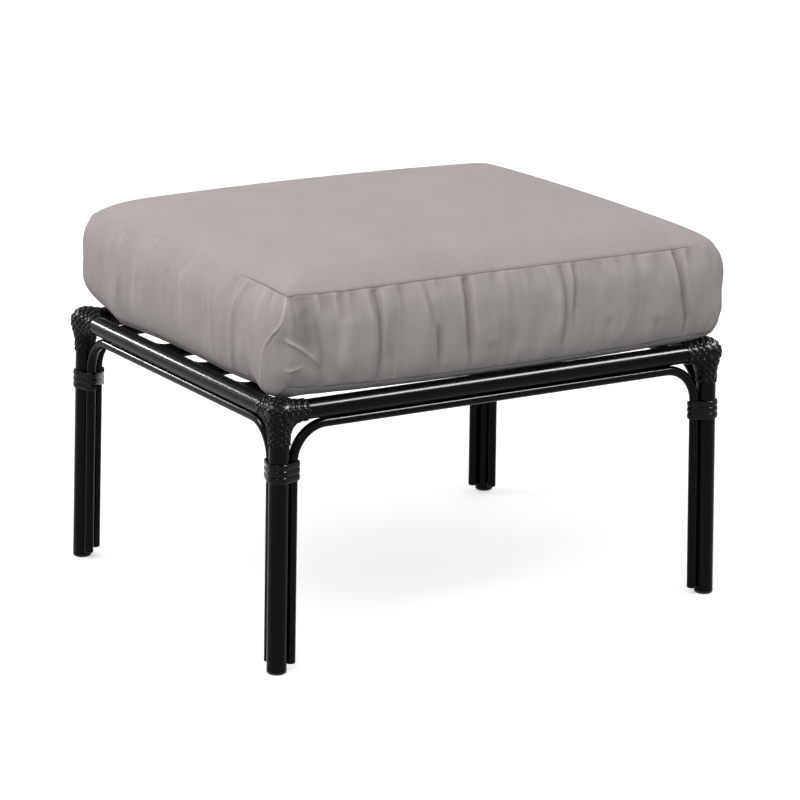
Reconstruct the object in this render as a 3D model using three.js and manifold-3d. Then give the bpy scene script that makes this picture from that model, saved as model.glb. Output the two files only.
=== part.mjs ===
// Outdoor ottoman: a welded frame of bent and straight round tube, dressed at its
// corners like rattan furniture, with a loose box cushion lying on flat slats.
// Millimetres, +Z up. The origin is on the floor under the middle of the frame,
// +X runs along the long rails and -Y is the front.
import * as THREE from 'three';
import { mergeVertices } from 'three/addons/utils/BufferGeometryUtils.js';
import Module from 'manifold-3d';

const wasm = await Module();
wasm.setup();

// Driving dimensions of the frame
const frameWidth = 644;
const frameDepth = 532;
const railHeight = 333;
const legLean = 5.7;
const clearance = 0.3;
const cutOverrun = 5;

// Main tube of the rails and posts
const tubeRadius = 12.7;
const tubeWall = 1.6;
const tubeSides = 24;

// Thin tube of the four hoops
const hoopTubeRadius = 6.35;
const hoopTubeWall = 1.2;
const hoopTubeSides = 10;
const hoopBendRadius = 46;
const hoopBendSteps = 7;
const hoopFootHeight = 9.5;

// Plastic foot glide in each post, and plastic plug in each end of a hoop
const glideHeight = 4;
const glideFaceRadius = 10.2;
const glideEdgeRise = 1.2;
const glideStemLength = 14;
const plugHeight = 2;
const plugFaceRadius = 4.6;
const plugStemLength = 8;

// Woven wrap over each corner where two rails meet a post
const wrapThickness = 2.3;
const wrapRailReach = 37;
const wrapPostReach = 41;

// Binding of flat cane round a post and its two hoop legs
const caneThickness = 2.2;
const caneWidth = 7.4;
const canePitch = 8.3;
const caneTurns = 3;
const caneFlatShare = 0.6;
const bindingDrop = 77.5;
const bindingSlack = 2.8;
const bendStepsPerTube = 7;
const leastGapWanted = 0.4;

// Flat slats that carry the cushion, welded between the short rails
const slatThickness = 4;
const slatRise = 9;
const slatWidth = 57;
const narrowSlatWidth = 22;
const slatFillet = 12;
const slatFilletSteps = 4;

// Places of the slats from front to back, as shares of the frame's depth
const slatPlaceShares = [-0.33, -0.121, 0.079, 0.294];

// Cushion: how far its fullest line stands out past the middle of the rails on
// each side, and where it lies on the frame
const sideOverhang = 12;
const endOverhang = 14;
const cushionShiftX = 6;
const cushionShiftY = -2;
const cushionCornerRadius = 34;
const cornerSteps = 6;
const boxingBase = 14.5;
const boxingHeight = 119;
const crownHeight = 33;
const seamInset = 14.5;
const seamPinch = 1.5;
const bellyBand = 28;
const coverWall = 1.5;

// Zip along the middle of the back boxing
const zipEndMargin = 94;
const zipSlotHeight = 9;
const tapeWidth = 12.5;
const tapeThickness = 0.8;
const coilHeight = 2.4;
const coilDepth = 1.6;
const coilParting = 1.4;
const sliderLength = 11;
const sliderHeight = 8;
const sliderPlate = 1.4;
const sliderWeb = 0.7;
const earThickness = 1.2;
const earLength = 3.2;
const pinRadius = 0.8;
const pinSides = 12;
const pullEyeRadius = 1.9;
const pullEyeWidth = 2.4;
const pullLength = 22;
const pullWidth = 5.2;
const pullThickness = 1.4;
const pullNeckLength = 4.4;
const sliderStandoff = 1;

// Finishes
const blackPaint = { color: 0x17181a, roughness: 0.28, metalness: 0.1 };
const blackCane = { color: 0x1b1b1b, roughness: 0.4, metalness: 0 };
const blackPlastic = { color: 0x111111, roughness: 0.55, metalness: 0 };
const taupeFabric = { color: 0xa39b96, roughness: 0.95, metalness: 0 };
const foamYellow = { color: 0xe6dcb4, roughness: 0.9, metalness: 0 };
const fibreWhite = { color: 0xf0f0ee, roughness: 1, metalness: 0 };
const zipGrey = { color: 0x8c8681, roughness: 0.7, metalness: 0 };
const zipMetal = { color: 0x9a9a98, roughness: 0.35, metalness: 0.9 };

// Sizes worked out from those above
const halfWidth = frameWidth / 2;
const halfDepth = frameDepth / 2;
const hoopOffset = tubeRadius + hoopTubeRadius + clearance;
const tubeBore = tubeRadius - tubeWall;
const hoopBore = hoopTubeRadius - hoopTubeWall;
const hoopTubeBottom = hoopFootHeight + plugHeight + clearance;
const cushionFloor = railHeight + slatRise + clearance;
const cushionWidth = frameWidth + 2 * sideOverhang;
const cushionDepth = frameDepth + 2 * endOverhang;
const zipLength = cushionWidth - 2 * zipEndMargin;

const ottoman = new THREE.Group();

function addPiece(parent, name, geometry, finish) {
  const mesh = new THREE.Mesh(geometry, new THREE.MeshStandardMaterial(finish));
  mesh.name = name;
  parent.add(mesh);
  return mesh;
}

// A solid is made ready for joining and cutting
function toManifold(geometry) {
  const bare = geometry.index ? geometry.toNonIndexed() : geometry.clone();
  bare.deleteAttribute('normal');
  bare.deleteAttribute('uv');
  const merged = mergeVertices(bare);
  const vertProperties = new Float32Array(merged.attributes.position.array);
  const triVerts = new Uint32Array(merged.index.array);
  return new wasm.Manifold(new wasm.Mesh({ numProp: 3, vertProperties, triVerts }));
}

function fromManifold(solid) {
  const mesh = solid.getMesh();
  const geometry = new THREE.BufferGeometry();
  geometry.setAttribute('position', new THREE.BufferAttribute(mesh.vertProperties, 3));
  geometry.setIndex(new THREE.BufferAttribute(mesh.triVerts, 1));
  geometry.computeVertexNormals();
  return geometry;
}

// A closed body through a row of rings that all have the same number of points
function ringBody(rings) {
  const count = rings[0].length;
  const positions = rings.flat().flatMap((point) => [point.x, point.y, point.z]);
  const index = [];
  for (let row = 0; row + 1 < rings.length; row += 1) {
    for (let i = 0; i < count; i += 1) {
      const next = (i + 1) % count;
      const a = row * count + i;
      const b = row * count + next;
      index.push(a, b, b + count, a, b + count, a + count);
    }
  }
  const last = (rings.length - 1) * count;
  for (let i = 1; i + 1 < count; i += 1) {
    index.push(0, i + 1, i);
    index.push(last, last + i, last + i + 1);
  }
  const geometry = new THREE.BufferGeometry();
  geometry.setAttribute('position', new THREE.Float32BufferAttribute(positions, 3));
  geometry.setIndex(index);
  geometry.computeVertexNormals();
  return geometry;
}

// The legs stand out towards the floor, so every frame piece below the rails
// follows them outwards, the more the lower it lies
function leanOut(geometry) {
  const position = geometry.attributes.position;
  for (let i = 0; i < position.count; i += 1) {
    const depth = Math.max(0, railHeight - position.getZ(i)) / railHeight;
    const x = position.getX(i);
    const y = position.getY(i);
    position.setX(i, x + legLean * depth * x / halfWidth);
    position.setY(i, y + legLean * depth * y / halfDepth);
  }
  geometry.computeVertexNormals();
  return geometry;
}

function tubeSection(outer, inner) {
  const section = new THREE.Shape();
  section.absarc(0, 0, outer, 0, 2 * Math.PI);
  const bore = new THREE.Path();
  bore.absarc(0, 0, inner, 0, 2 * Math.PI);
  section.holes.push(bore);
  return section;
}

function straightTube(outer, inner, length, sides) {
  const options = { depth: length, bevelEnabled: false, curveSegments: sides / 2 };
  return new THREE.ExtrudeGeometry(tubeSection(outer, inner), options);
}

function solidRod(radius, length, sides) {
  return new THREE.CylinderGeometry(radius, radius, length, sides);
}

// A path of straight stretches joined by round bends, with a step at each end
// of a stretch and at each share of a bend
class BentPath extends THREE.Curve {
  constructor(corners, bendRadius, bendSteps) {
    super();
    this.stations = [];
    const lastCorner = corners.length - 1;
    this.addStation(corners[0], corners[1].clone().sub(corners[0]));
    for (let i = 1; i < lastCorner; i += 1) {
      this.addBend(corners[i - 1], corners[i], corners[i + 1], bendRadius, bendSteps);
    }
    const before = corners[lastCorner - 1];
    this.addStation(corners[lastCorner], corners[lastCorner].clone().sub(before));
  }

  addStation(point, direction) {
    this.stations.push({ point: point.clone(), tangent: direction.clone().normalize() });
  }

  addBend(from, corner, to, radius, steps) {
    const incoming = corner.clone().sub(from).normalize();
    const outgoing = to.clone().sub(corner).normalize();
    const turn = incoming.angleTo(outgoing);
    const centre = corner.clone().addScaledVector(incoming, -radius * Math.tan(turn / 2));
    const inward = outgoing.clone().addScaledVector(incoming, -Math.cos(turn)).normalize();
    centre.addScaledVector(inward, radius);
    for (let step = 0; step <= steps; step += 1) {
      const angle = turn * step / steps;
      const point = centre.clone();
      point.addScaledVector(inward, -radius * Math.cos(angle));
      point.addScaledVector(incoming, radius * Math.sin(angle));
      const tangent = incoming.clone().multiplyScalar(Math.cos(angle));
      tangent.addScaledVector(inward, Math.sin(angle));
      this.addStation(point, tangent);
    }
  }

  between(t, key) {
    const place = t * (this.stations.length - 1);
    const low = Math.min(Math.floor(place), this.stations.length - 2);
    const start = this.stations[low][key];
    return start.clone().lerp(this.stations[low + 1][key], place - low);
  }

  getUtoTmapping(u) {
    return u;
  }

  getPoint(t) {
    return this.between(t, 'point');
  }

  getTangent(t) {
    return this.between(t, 'tangent').normalize();
  }
}

// Rails: four straight tubes, mitred where they meet in the corners
function mitredRail(length) {
  const geometry = straightTube(tubeRadius, tubeBore, length, tubeSides);
  geometry.translate(0, 0, -length / 2);
  geometry.rotateY(Math.PI / 2);
  const position = geometry.attributes.position;
  for (let i = 0; i < position.count; i += 1) {
    const side = Math.sign(position.getX(i));
    position.setX(i, position.getX(i) - side * (position.getY(i) + clearance));
  }
  geometry.computeVertexNormals();
  return geometry;
}

function addRails() {
  const turns = [['front', 0], ['right', 1], ['back', 2], ['left', 3]];
  for (const [side, quarter] of turns) {
    const isLong = quarter % 2 === 0;
    const rail = mitredRail(isLong ? frameWidth : frameDepth);
    rail.translate(0, isLong ? -halfDepth : -halfWidth, 0);
    const mesh = addPiece(ottoman, `${side}_rail`, rail, blackPaint);
    mesh.rotation.z = quarter * Math.PI / 2;
    mesh.position.z = railHeight;
  }
}

// Everything that belongs to one leg is built for the four corners in turn. The
// bindings are wound by hand, so they lie a little higher or lower
const corners = [
  { name: 'front_left', x: -1, y: -1, slackShare: 1 },
  { name: 'front_right', x: 1, y: -1, slackShare: 0 },
  { name: 'back_left', x: -1, y: 1, slackShare: -1 },
  { name: 'back_right', x: 1, y: 1, slackShare: 0 },
];

function addPosts() {
  const bottom = glideHeight + clearance;
  const top = railHeight - tubeRadius - clearance;
  for (const corner of corners) {
    const post = straightTube(tubeRadius, tubeBore, top - bottom, tubeSides);
    post.translate(corner.x * halfWidth, corner.y * halfDepth, bottom);
    addPiece(ottoman, `post_${corner.name}`, leanOut(post), blackPaint);
  }
}

// Each hoop runs up beside one post, round under its rail and down beside the next
function hoopGeometry(span) {
  const reach = span / 2 - hoopOffset;
  const top = railHeight - hoopOffset;
  const path = new BentPath([
    new THREE.Vector3(-reach, 0, hoopTubeBottom),
    new THREE.Vector3(-reach, 0, top),
    new THREE.Vector3(reach, 0, top),
    new THREE.Vector3(reach, 0, hoopTubeBottom),
  ], hoopBendRadius, hoopBendSteps);
  return new THREE.ExtrudeGeometry(tubeSection(hoopTubeRadius, hoopBore), {
    steps: path.stations.length - 1,
    curveSegments: hoopTubeSides / 2,
    extrudePath: path,
  });
}

// Plugs and glides share one turned form: a rounded foot with a stem in the bore
function turnedFoot(faceRadius, outerRadius, height, stemRadius, stemLength, sides) {
  const profile = [
    new THREE.Vector2(0, 0),
    new THREE.Vector2(faceRadius, 0),
    new THREE.Vector2(outerRadius, Math.min(glideEdgeRise, height / 2)),
    new THREE.Vector2(outerRadius, height),
    new THREE.Vector2(stemRadius, height),
    new THREE.Vector2(stemRadius, height + stemLength),
    new THREE.Vector2(0, height + stemLength),
  ];
  const foot = new THREE.LatheGeometry(profile, sides);
  foot.rotateX(Math.PI / 2);
  return foot;
}

function addPlug(name, x, y) {
  const stem = hoopBore - clearance;
  const sides = hoopTubeSides;
  const radius = hoopTubeRadius;
  const plug = turnedFoot(plugFaceRadius, radius, plugHeight, stem, plugStemLength, sides);
  plug.translate(x, y, hoopFootHeight);
  addPiece(ottoman, name, leanOut(plug), blackPlastic);
}

function addHoops() {
  for (const [side, sign] of [['front', -1], ['back', 1]]) {
    const hoop = hoopGeometry(frameWidth);
    hoop.translate(0, sign * halfDepth, 0);
    addPiece(ottoman, `${side}_hoop`, leanOut(hoop), blackPaint);
    addPlug(`plug_${side}_hoop_left`, hoopOffset - halfWidth, sign * halfDepth);
    addPlug(`plug_${side}_hoop_right`, halfWidth - hoopOffset, sign * halfDepth);
  }
  for (const [side, sign] of [['left', -1], ['right', 1]]) {
    const hoop = hoopGeometry(frameDepth);
    hoop.rotateZ(Math.PI / 2);
    hoop.translate(sign * halfWidth, 0, 0);
    addPiece(ottoman, `${side}_hoop`, leanOut(hoop), blackPaint);
    addPlug(`plug_${side}_hoop_front`, sign * halfWidth, hoopOffset - halfDepth);
    addPlug(`plug_${side}_hoop_back`, sign * halfWidth, halfDepth - hoopOffset);
  }
}

function addGlides() {
  const stem = tubeBore - clearance;
  for (const corner of corners) {
    const glide = turnedFoot(
      glideFaceRadius, tubeRadius, glideHeight, stem, glideStemLength, tubeSides);
    glide.translate(corner.x * halfWidth, corner.y * halfDepth, 0);
    addPiece(ottoman, `foot_glide_${corner.name}`, leanOut(glide), blackPlastic);
  }
}

// One elbow of two rail stretches, mitred across the corner, as a closed body
function cornerElbow(radius, reach) {
  const ring = [];
  for (let i = 0; i < tubeSides; i += 1) {
    const angle = 2 * Math.PI * i / tubeSides;
    ring.push([radius * Math.cos(angle), radius * Math.sin(angle)]);
  }
  const alongX = ring.map(([out, up]) => new THREE.Vector3(reach, -out, up));
  const mitre = ring.map(([out, up]) => new THREE.Vector3(-out, -out, up));
  const alongY = ring.map(([out, up]) => new THREE.Vector3(-out, reach, up));
  return ringBody([alongX, mitre, alongY]);
}

function uprightRod(radius, bottom, top) {
  const rod = solidRod(radius, top - bottom, tubeSides);
  rod.rotateX(Math.PI / 2);
  rod.translate(0, 0, (top + bottom) / 2);
  return rod;
}

// Wrap: a three-way sleeve that fits over both rails and the head of the post.
// It is made for a corner whose rails run to +X and +Y, then turned to its place
function wrapGeometry() {
  const outer = tubeRadius + wrapThickness;
  const inner = tubeRadius + clearance;
  const skin = toManifold(cornerElbow(outer, wrapRailReach));
  const drop = toManifold(uprightRod(outer, -wrapPostReach, 0));
  const railSpace = toManifold(cornerElbow(inner, wrapRailReach + cutOverrun));
  const postSpace = toManifold(uprightRod(inner, -wrapPostReach - cutOverrun, 0));
  return fromManifold(skin.add(drop).subtract(railSpace).subtract(postSpace));
}

function addWraps() {
  const quarter = { front_left: 0, front_right: 1, back_right: 2, back_left: 3 };
  for (const corner of corners) {
    const wrap = wrapGeometry();
    wrap.rotateZ(quarter[corner.name] * Math.PI / 2);
    wrap.translate(corner.x * halfWidth, corner.y * halfDepth, railHeight);
    addPiece(ottoman, `corner_wrap_${corner.name}`, leanOut(wrap), blackCane);
  }
}

// The line that a strip takes once round a post at the origin and its two hoop
// legs at +X and +Y: arcs round each tube and straight stretches between them.
// It starts and ends halfway between the two hoop legs, where it climbs a turn
function bindingLoop() {
  const lift = clearance + caneThickness / 2;
  const big = tubeRadius + lift;
  const small = hoopTubeRadius + lift;
  const swing = Math.acos((big - small) / hoopOffset);
  const arcs = [
    { x: 0, y: hoopOffset, radius: small, from: Math.PI / 4, to: Math.PI / 2 + swing },
    { x: 0, y: 0, radius: big, from: Math.PI / 2 + swing, to: 2 * Math.PI - swing },
    { x: hoopOffset, y: 0, radius: small, from: -swing, to: Math.PI / 4 },
  ];
  const diagonal = hoopOffset / 2 + small * Math.SQRT1_2;
  const between = { x: diagonal, y: diagonal, angle: Math.PI / 4 };
  const loop = [{ ...between, climb: -canePitch / 2 }];
  for (const arc of arcs) {
    for (let step = 0; step <= bendStepsPerTube; step += 1) {
      const angle = arc.from + (arc.to - arc.from) * step / bendStepsPerTube;
      const x = arc.x + arc.radius * Math.cos(angle);
      const y = arc.y + arc.radius * Math.sin(angle);
      loop.push({ x, y, angle, climb: 0 });
    }
  }
  loop.push({ ...between, climb: canePitch / 2 });
  return loop;
}

function bindingStations() {
  const loop = bindingLoop();
  const stations = [];
  for (let turn = 0; turn < caneTurns; turn += 1) {
    const level = canePitch * (turn - (caneTurns - 1) / 2);
    const points = turn === caneTurns - 1 ? loop : loop.slice(0, -1);
    for (const point of points) {
      stations.push({ ...point, z: level + point.climb });
    }
  }
  return stations;
}

// The flattened six-sided section of the cane at one station
function caneRing(station) {
  const flat = caneWidth * caneFlatShare / 2;
  const section = [
    [caneThickness / 2, -flat],
    [caneThickness / 2, flat],
    [0, caneWidth / 2],
    [-caneThickness / 2, flat],
    [-caneThickness / 2, -flat],
    [0, -caneWidth / 2],
  ];
  return section.map(([out, up]) => new THREE.Vector3(
    station.x + out * Math.cos(station.angle),
    station.y + out * Math.sin(station.angle),
    station.z + up));
}

// Least distance between neighbouring turns, measured on the points of the rings
function leastTurnGap(rings) {
  const perTurn = (rings.length - 1) / caneTurns;
  let least = Infinity;
  for (let i = 0; i < rings.length; i += 1) {
    for (let j = i + Math.ceil(perTurn / 2); j < rings.length; j += 1) {
      for (const here of rings[i]) {
        for (const there of rings[j]) {
          least = Math.min(least, here.distanceTo(there));
        }
      }
    }
  }
  return least;
}

function addBindings() {
  const rings = bindingStations().map(caneRing);
  const gap = leastTurnGap(rings);
  console.log(`least gap between turns of a binding: ${gap.toFixed(2)} mm, wanted ${leastGapWanted}`);
  for (const corner of corners) {
    const turned = rings.map((ring) => ring.map((point) => new THREE.Vector3(
      corner.x * (halfWidth - point.x),
      corner.y * (halfDepth - point.y),
      railHeight - bindingDrop + bindingSlack * corner.slackShare + point.z)));
    const facesOut = corner.x * corner.y < 0;
    const binding = ringBody(facesOut ? turned : turned.map((ring) => ring.reverse()));
    addPiece(ottoman, `leg_binding_${corner.name}`, leanOut(binding), blackCane);
  }
}

// Slats: flat bars that widen in a fillet at each end and are cut to the rail
function slatOutline(width) {
  const edge = width / 2;
  const shoulder = halfWidth - tubeRadius;
  const outline = new THREE.Shape();
  outline.moveTo(-halfWidth, -edge - slatFillet);
  outline.lineTo(-shoulder, -edge - slatFillet);
  outline.absarc(
    slatFillet - shoulder, -edge - slatFillet, slatFillet, Math.PI, Math.PI / 2, true);
  outline.absarc(
    shoulder - slatFillet, -edge - slatFillet, slatFillet, Math.PI / 2, 0, true);
  outline.lineTo(halfWidth, -edge - slatFillet);
  outline.lineTo(halfWidth, edge + slatFillet);
  outline.lineTo(shoulder, edge + slatFillet);
  outline.absarc(
    shoulder - slatFillet, edge + slatFillet, slatFillet, 0, -Math.PI / 2, true);
  outline.absarc(
    slatFillet - shoulder, edge + slatFillet, slatFillet, -Math.PI / 2, -Math.PI, true);
  outline.lineTo(-halfWidth, edge + slatFillet);
  outline.closePath();
  return outline;
}

function addSlats() {
  const railSpace = solidRod(tubeRadius + clearance, frameDepth, tubeSides);
  const leftSpace = toManifold(railSpace.clone().translate(-halfWidth, 0, 0));
  const rightSpace = toManifold(railSpace.clone().translate(halfWidth, 0, 0));
  slatPlaceShares.forEach((share, i) => {
    const isNarrow = i === slatPlaceShares.length - 1;
    const blank = new THREE.ExtrudeGeometry(
      slatOutline(isNarrow ? narrowSlatWidth : slatWidth),
      { depth: slatThickness, bevelEnabled: false, curveSegments: slatFilletSteps / 2 });
    blank.translate(0, share * frameDepth, slatRise - slatThickness);
    const slat = fromManifold(toManifold(blank).subtract(leftSpace).subtract(rightSpace));
    const mesh = addPiece(ottoman, `seat_slat_${i + 1}`, slat, blackPaint);
    mesh.position.z = railHeight;
  });
}

// Cushion: a round-cornered outline whose size changes with its height.
// A row of a profile is [inset from the fullest line, height over the slats]
function cushionRing(inset, height) {
  const halfX = cushionWidth / 2 - inset;
  const halfY = cushionDepth / 2 - inset;
  const radius = Math.max(cushionCornerRadius - inset, cushionCornerRadius / 2);
  const ring = [];
  for (let quarter = 0; quarter < 4; quarter += 1) {
    const signX = quarter === 0 || quarter === 3 ? 1 : -1;
    const signY = quarter < 2 ? 1 : -1;
    for (let step = 0; step <= cornerSteps; step += 1) {
      const angle = (quarter + step / cornerSteps) * Math.PI / 2;
      const x = signX * (halfX - radius) + radius * Math.cos(angle);
      const y = signY * (halfY - radius) + radius * Math.sin(angle);
      ring.push(new THREE.Vector3(x, y, height));
    }
  }
  return ring;
}

const topSeam = boxingBase + boxingHeight;
const bellyHeight = boxingBase + boxingHeight / 2 - bellyBand / 2;

// Rows of the underside: [share of the way in past the rail, share of the rise].
// It is flat on the slats inside the rails and rises over them to the seam
const railPassing = sideOverhang + tubeRadius + cushionShiftX;
const underShares = [[1.7, 0], [0.9, 0.05], [0.47, 0.18], [0.21, 0.45], [0.02, 0.85]];

// Other rows of the cover: [share of the seam's inset, share of the height of the part]
const lowerBoxingShares = [[0.86, 0.06], [0.34, 0.4], [0.07, 0.8]];
const upperBoxingShares = [[0.07, 0.2], [0.34, 0.6], [0.86, 0.94]];
const crownShares = [[1.02, 0.1], [1.35, 0.36], [2.2, 0.58], [4.2, 0.75], [8, 0.88], [13.5, 0.96]];

function coverRows() {
  const rise = topSeam - bellyHeight - bellyBand;
  const drop = bellyHeight - boxingBase;
  return [
    ...underShares.map(([side, up]) => [seamInset + side * railPassing, up * boxingBase]),
    [seamInset + seamPinch, boxingBase],
    ...lowerBoxingShares.map(([side, up]) => [side * seamInset, boxingBase + up * drop]),
    [0, bellyHeight],
    [0, bellyHeight + bellyBand],
    ...upperBoxingShares.map(
      ([side, up]) => [side * seamInset, bellyHeight + bellyBand + up * rise]),
    [seamInset + seamPinch, topSeam],
    ...crownShares.map(([side, up]) => [side * seamInset, topSeam + up * crownHeight]),
  ];
}

function rowsBody(rows) {
  return ringBody(rows.map(([inset, height]) => cushionRing(inset, height)));
}

// The space inside the cover: the cover's rows drawn in by its wall
function innerRows(gap) {
  const middle = (boxingBase + topSeam) / 2;
  return coverRows().map(([inset, height]) => {
    const towards = height < middle ? 1 : -1;
    const isWall = inset < seamInset;
    return [inset + gap, isWall ? height : height + towards * gap];
  });
}

function zipBand(inner, outer, low, high) {
  const band = new THREE.BoxGeometry(zipLength, outer - inner, high - low);
  band.translate(0, (inner + outer) / 2, (low + high) / 2);
  return band;
}

const zipHeight = bellyHeight + bellyBand / 2;
const wallFace = cushionDepth / 2;
const tapeFace = wallFace - coverWall - clearance;

function coverGeometry() {
  const outside = toManifold(rowsBody(coverRows()));
  const inside = toManifold(rowsBody(innerRows(coverWall)));
  const slot = toManifold(zipBand(
    tapeFace - cutOverrun, wallFace + cutOverrun,
    zipHeight - zipSlotHeight / 2, zipHeight + zipSlotHeight / 2));
  return fromManifold(outside.subtract(inside).subtract(slot));
}

// Filling: a foam block between two crowned pads of loose fibre
const coreInset = seamInset + seamPinch + coverWall + 2 * clearance;
const coreBottom = boxingBase - coverWall;
const coreTop = topSeam - coverWall;

function coreRows() {
  const bevel = coverWall * 2;
  return [
    [coreInset + bevel, coreBottom],
    [coreInset, coreBottom + bevel],
    [coreInset, coreTop - bevel],
    [coreInset + bevel, coreTop],
  ];
}

function padRows(isTop) {
  const gap = coverWall + clearance;
  const rows = innerRows(gap).filter(([, height]) => (isTop ? height > topSeam : height < boxingBase));
  const seat = isTop ? coreTop + clearance : coreBottom - clearance;
  const beyond = ([inset, height]) => inset > coreInset && (isTop ? height > seat : height < seat);
  const kept = rows.filter(beyond);
  const rim = [coreInset + coverWall, seat];
  return isTop ? [rim, ...kept] : [...kept, rim];
}

// Each tape is woven with half of the coil along its inner edge
function tapeGeometry(sign) {
  const profile = new THREE.Shape();
  const near = coilParting / 2;
  profile.moveTo(tapeFace - tapeThickness, sign * near);
  profile.lineTo(tapeFace + coilDepth, sign * near);
  profile.lineTo(tapeFace + coilDepth, sign * (near + coilHeight));
  profile.lineTo(tapeFace, sign * (near + coilHeight));
  profile.lineTo(tapeFace, sign * tapeWidth);
  profile.lineTo(tapeFace - tapeThickness, sign * tapeWidth);
  profile.closePath();
  const tape = new THREE.ExtrudeGeometry(profile, { depth: zipLength, bevelEnabled: false });
  return standAlongX(tape, zipLength);
}

// A profile drawn in Y and Z and extruded is laid along X about its middle
function standAlongX(geometry, length) {
  geometry.rotateX(Math.PI / 2);
  geometry.rotateZ(Math.PI / 2);
  geometry.translate(-length / 2, 0, 0);
  return geometry;
}

const sliderFace = tapeFace + coilDepth + clearance;
const sliderTop = sliderFace + sliderPlate;
const pinCentre = sliderTop + pullEyeRadius + clearance;
const earInner = pullEyeWidth / 2 + clearance;
const sliderHome = zipLength / 2 - sliderLength / 2 - sliderStandoff;

function block(sizeX, lowY, highY, lowZ, highZ) {
  const geometry = new THREE.BoxGeometry(sizeX, highY - lowY, highZ - lowZ);
  geometry.translate(0, (lowY + highY) / 2, (lowZ + highZ) / 2);
  return toManifold(geometry);
}

function sliderGeometry() {
  const half = sliderHeight / 2;
  const backFace = tapeFace - tapeThickness - clearance;
  const earTop = pinCentre + pinRadius + earThickness / 2;
  const earOuter = earInner + earThickness;
  const web = sliderWeb / 2;
  const pin = solidRod(pinRadius, 2 * earInner + earThickness, pinSides);
  pin.rotateX(Math.PI / 2);
  pin.translate(0, pinCentre, 0);
  let slider = block(sliderLength, sliderFace, sliderTop, -half, half);
  slider = slider.add(block(sliderLength, backFace - sliderPlate, backFace, -half, half));
  slider = slider.add(block(sliderLength, backFace, sliderFace, -web, web));
  const earFoot = sliderTop - sliderPlate / 2;
  slider = slider.add(block(earLength, earFoot, earTop, earInner, earOuter));
  slider = slider.add(block(earLength, earFoot, earTop, -earOuter, -earInner));
  return fromManifold(slider.add(toManifold(pin)));
}

// The pull is a flat tab with a round eye on the slider's pin, lying along -X
function pullGeometry() {
  const eye = solidRod(pullEyeRadius, pullEyeWidth, pinSides);
  eye.rotateX(Math.PI / 2);
  eye.translate(0, pinCentre, 0);
  const bore = solidRod(pinRadius + clearance, pullEyeWidth + cutOverrun, pinSides);
  bore.rotateX(Math.PI / 2);
  bore.translate(0, pinCentre, 0);
  const low = pinCentre - pullThickness / 2;
  const high = pinCentre + pullThickness / 2;
  const neck = new THREE.BoxGeometry(pullNeckLength, pullThickness, pullEyeWidth);
  neck.translate(-pullNeckLength / 2, (low + high) / 2, 0);
  const tab = new THREE.BoxGeometry(pullLength - pullNeckLength, pullThickness, pullWidth);
  tab.translate(-(pullLength + pullNeckLength) / 2 + clearance, (low + high) / 2, 0);
  const solid = toManifold(eye).add(toManifold(neck)).add(toManifold(tab));
  return fromManifold(solid.subtract(toManifold(bore)));
}

function addCushion() {
  const cushion = new THREE.Group();
  cushion.position.set(cushionShiftX, cushionShiftY, cushionFloor);
  addPiece(cushion, 'cushion_cover', coverGeometry(), taupeFabric);
  addPiece(cushion, 'foam_core', rowsBody(coreRows()), foamYellow);
  addPiece(cushion, 'fibre_pad_top', rowsBody(padRows(true)), fibreWhite);
  addPiece(cushion, 'fibre_pad_bottom', rowsBody(padRows(false)), fibreWhite);
  const upper = addPiece(cushion, 'zip_tape_upper', tapeGeometry(1), zipGrey);
  const lower = addPiece(cushion, 'zip_tape_lower', tapeGeometry(-1), zipGrey);
  const slider = addPiece(cushion, 'zip_slider', sliderGeometry(), zipMetal);
  const pull = addPiece(cushion, 'zip_pull', pullGeometry(), zipMetal);
  for (const piece of [upper, lower, slider, pull]) {
    piece.position.z = zipHeight;
  }
  slider.position.x = sliderHome;
  pull.position.x = sliderHome;
  ottoman.add(cushion);
}

addRails();
addPosts();
addHoops();
addGlides();
addWraps();
addBindings();
addSlats();
addCushion();

export default ottoman;
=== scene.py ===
import math

import bmesh
import bpy
import numpy as np
from mathutils import Matrix, Vector


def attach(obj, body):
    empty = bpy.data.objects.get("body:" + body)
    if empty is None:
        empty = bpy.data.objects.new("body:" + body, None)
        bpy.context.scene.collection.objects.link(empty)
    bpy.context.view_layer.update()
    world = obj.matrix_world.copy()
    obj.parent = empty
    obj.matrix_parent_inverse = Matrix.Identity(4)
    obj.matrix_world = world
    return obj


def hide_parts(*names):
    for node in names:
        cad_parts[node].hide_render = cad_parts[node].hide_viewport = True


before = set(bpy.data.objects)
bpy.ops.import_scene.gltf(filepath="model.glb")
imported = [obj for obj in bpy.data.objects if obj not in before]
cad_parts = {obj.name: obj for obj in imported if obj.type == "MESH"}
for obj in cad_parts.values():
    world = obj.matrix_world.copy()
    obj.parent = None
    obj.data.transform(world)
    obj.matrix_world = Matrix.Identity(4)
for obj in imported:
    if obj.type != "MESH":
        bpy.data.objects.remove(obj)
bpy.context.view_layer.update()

# Camera
# A long lens from the front left, a little above the seat, turned a touch
# clockwise as the photograph is.
CAMERA_AZIMUTH = math.radians(-31.596)
CAMERA_ELEVATION = math.radians(15.286)
CAMERA_ROLL = math.radians(0.856)
CAMERA_DISTANCE = 4.7429
CAMERA_TARGET = Vector((0.09374, 0.13015, 0.2))
LENS_LENGTH = 153.978
FILM_WIDTH = 36


def linked(name, data):
    obj = bpy.data.objects.new(name, data)
    bpy.context.scene.collection.objects.link(obj)
    return obj


def direction(azimuth, elevation):
    """The way to something at an azimuth, counted from the front, and an elevation."""
    return Vector((math.sin(azimuth) * math.cos(elevation),
                   -math.cos(azimuth) * math.cos(elevation), math.sin(elevation)))


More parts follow.
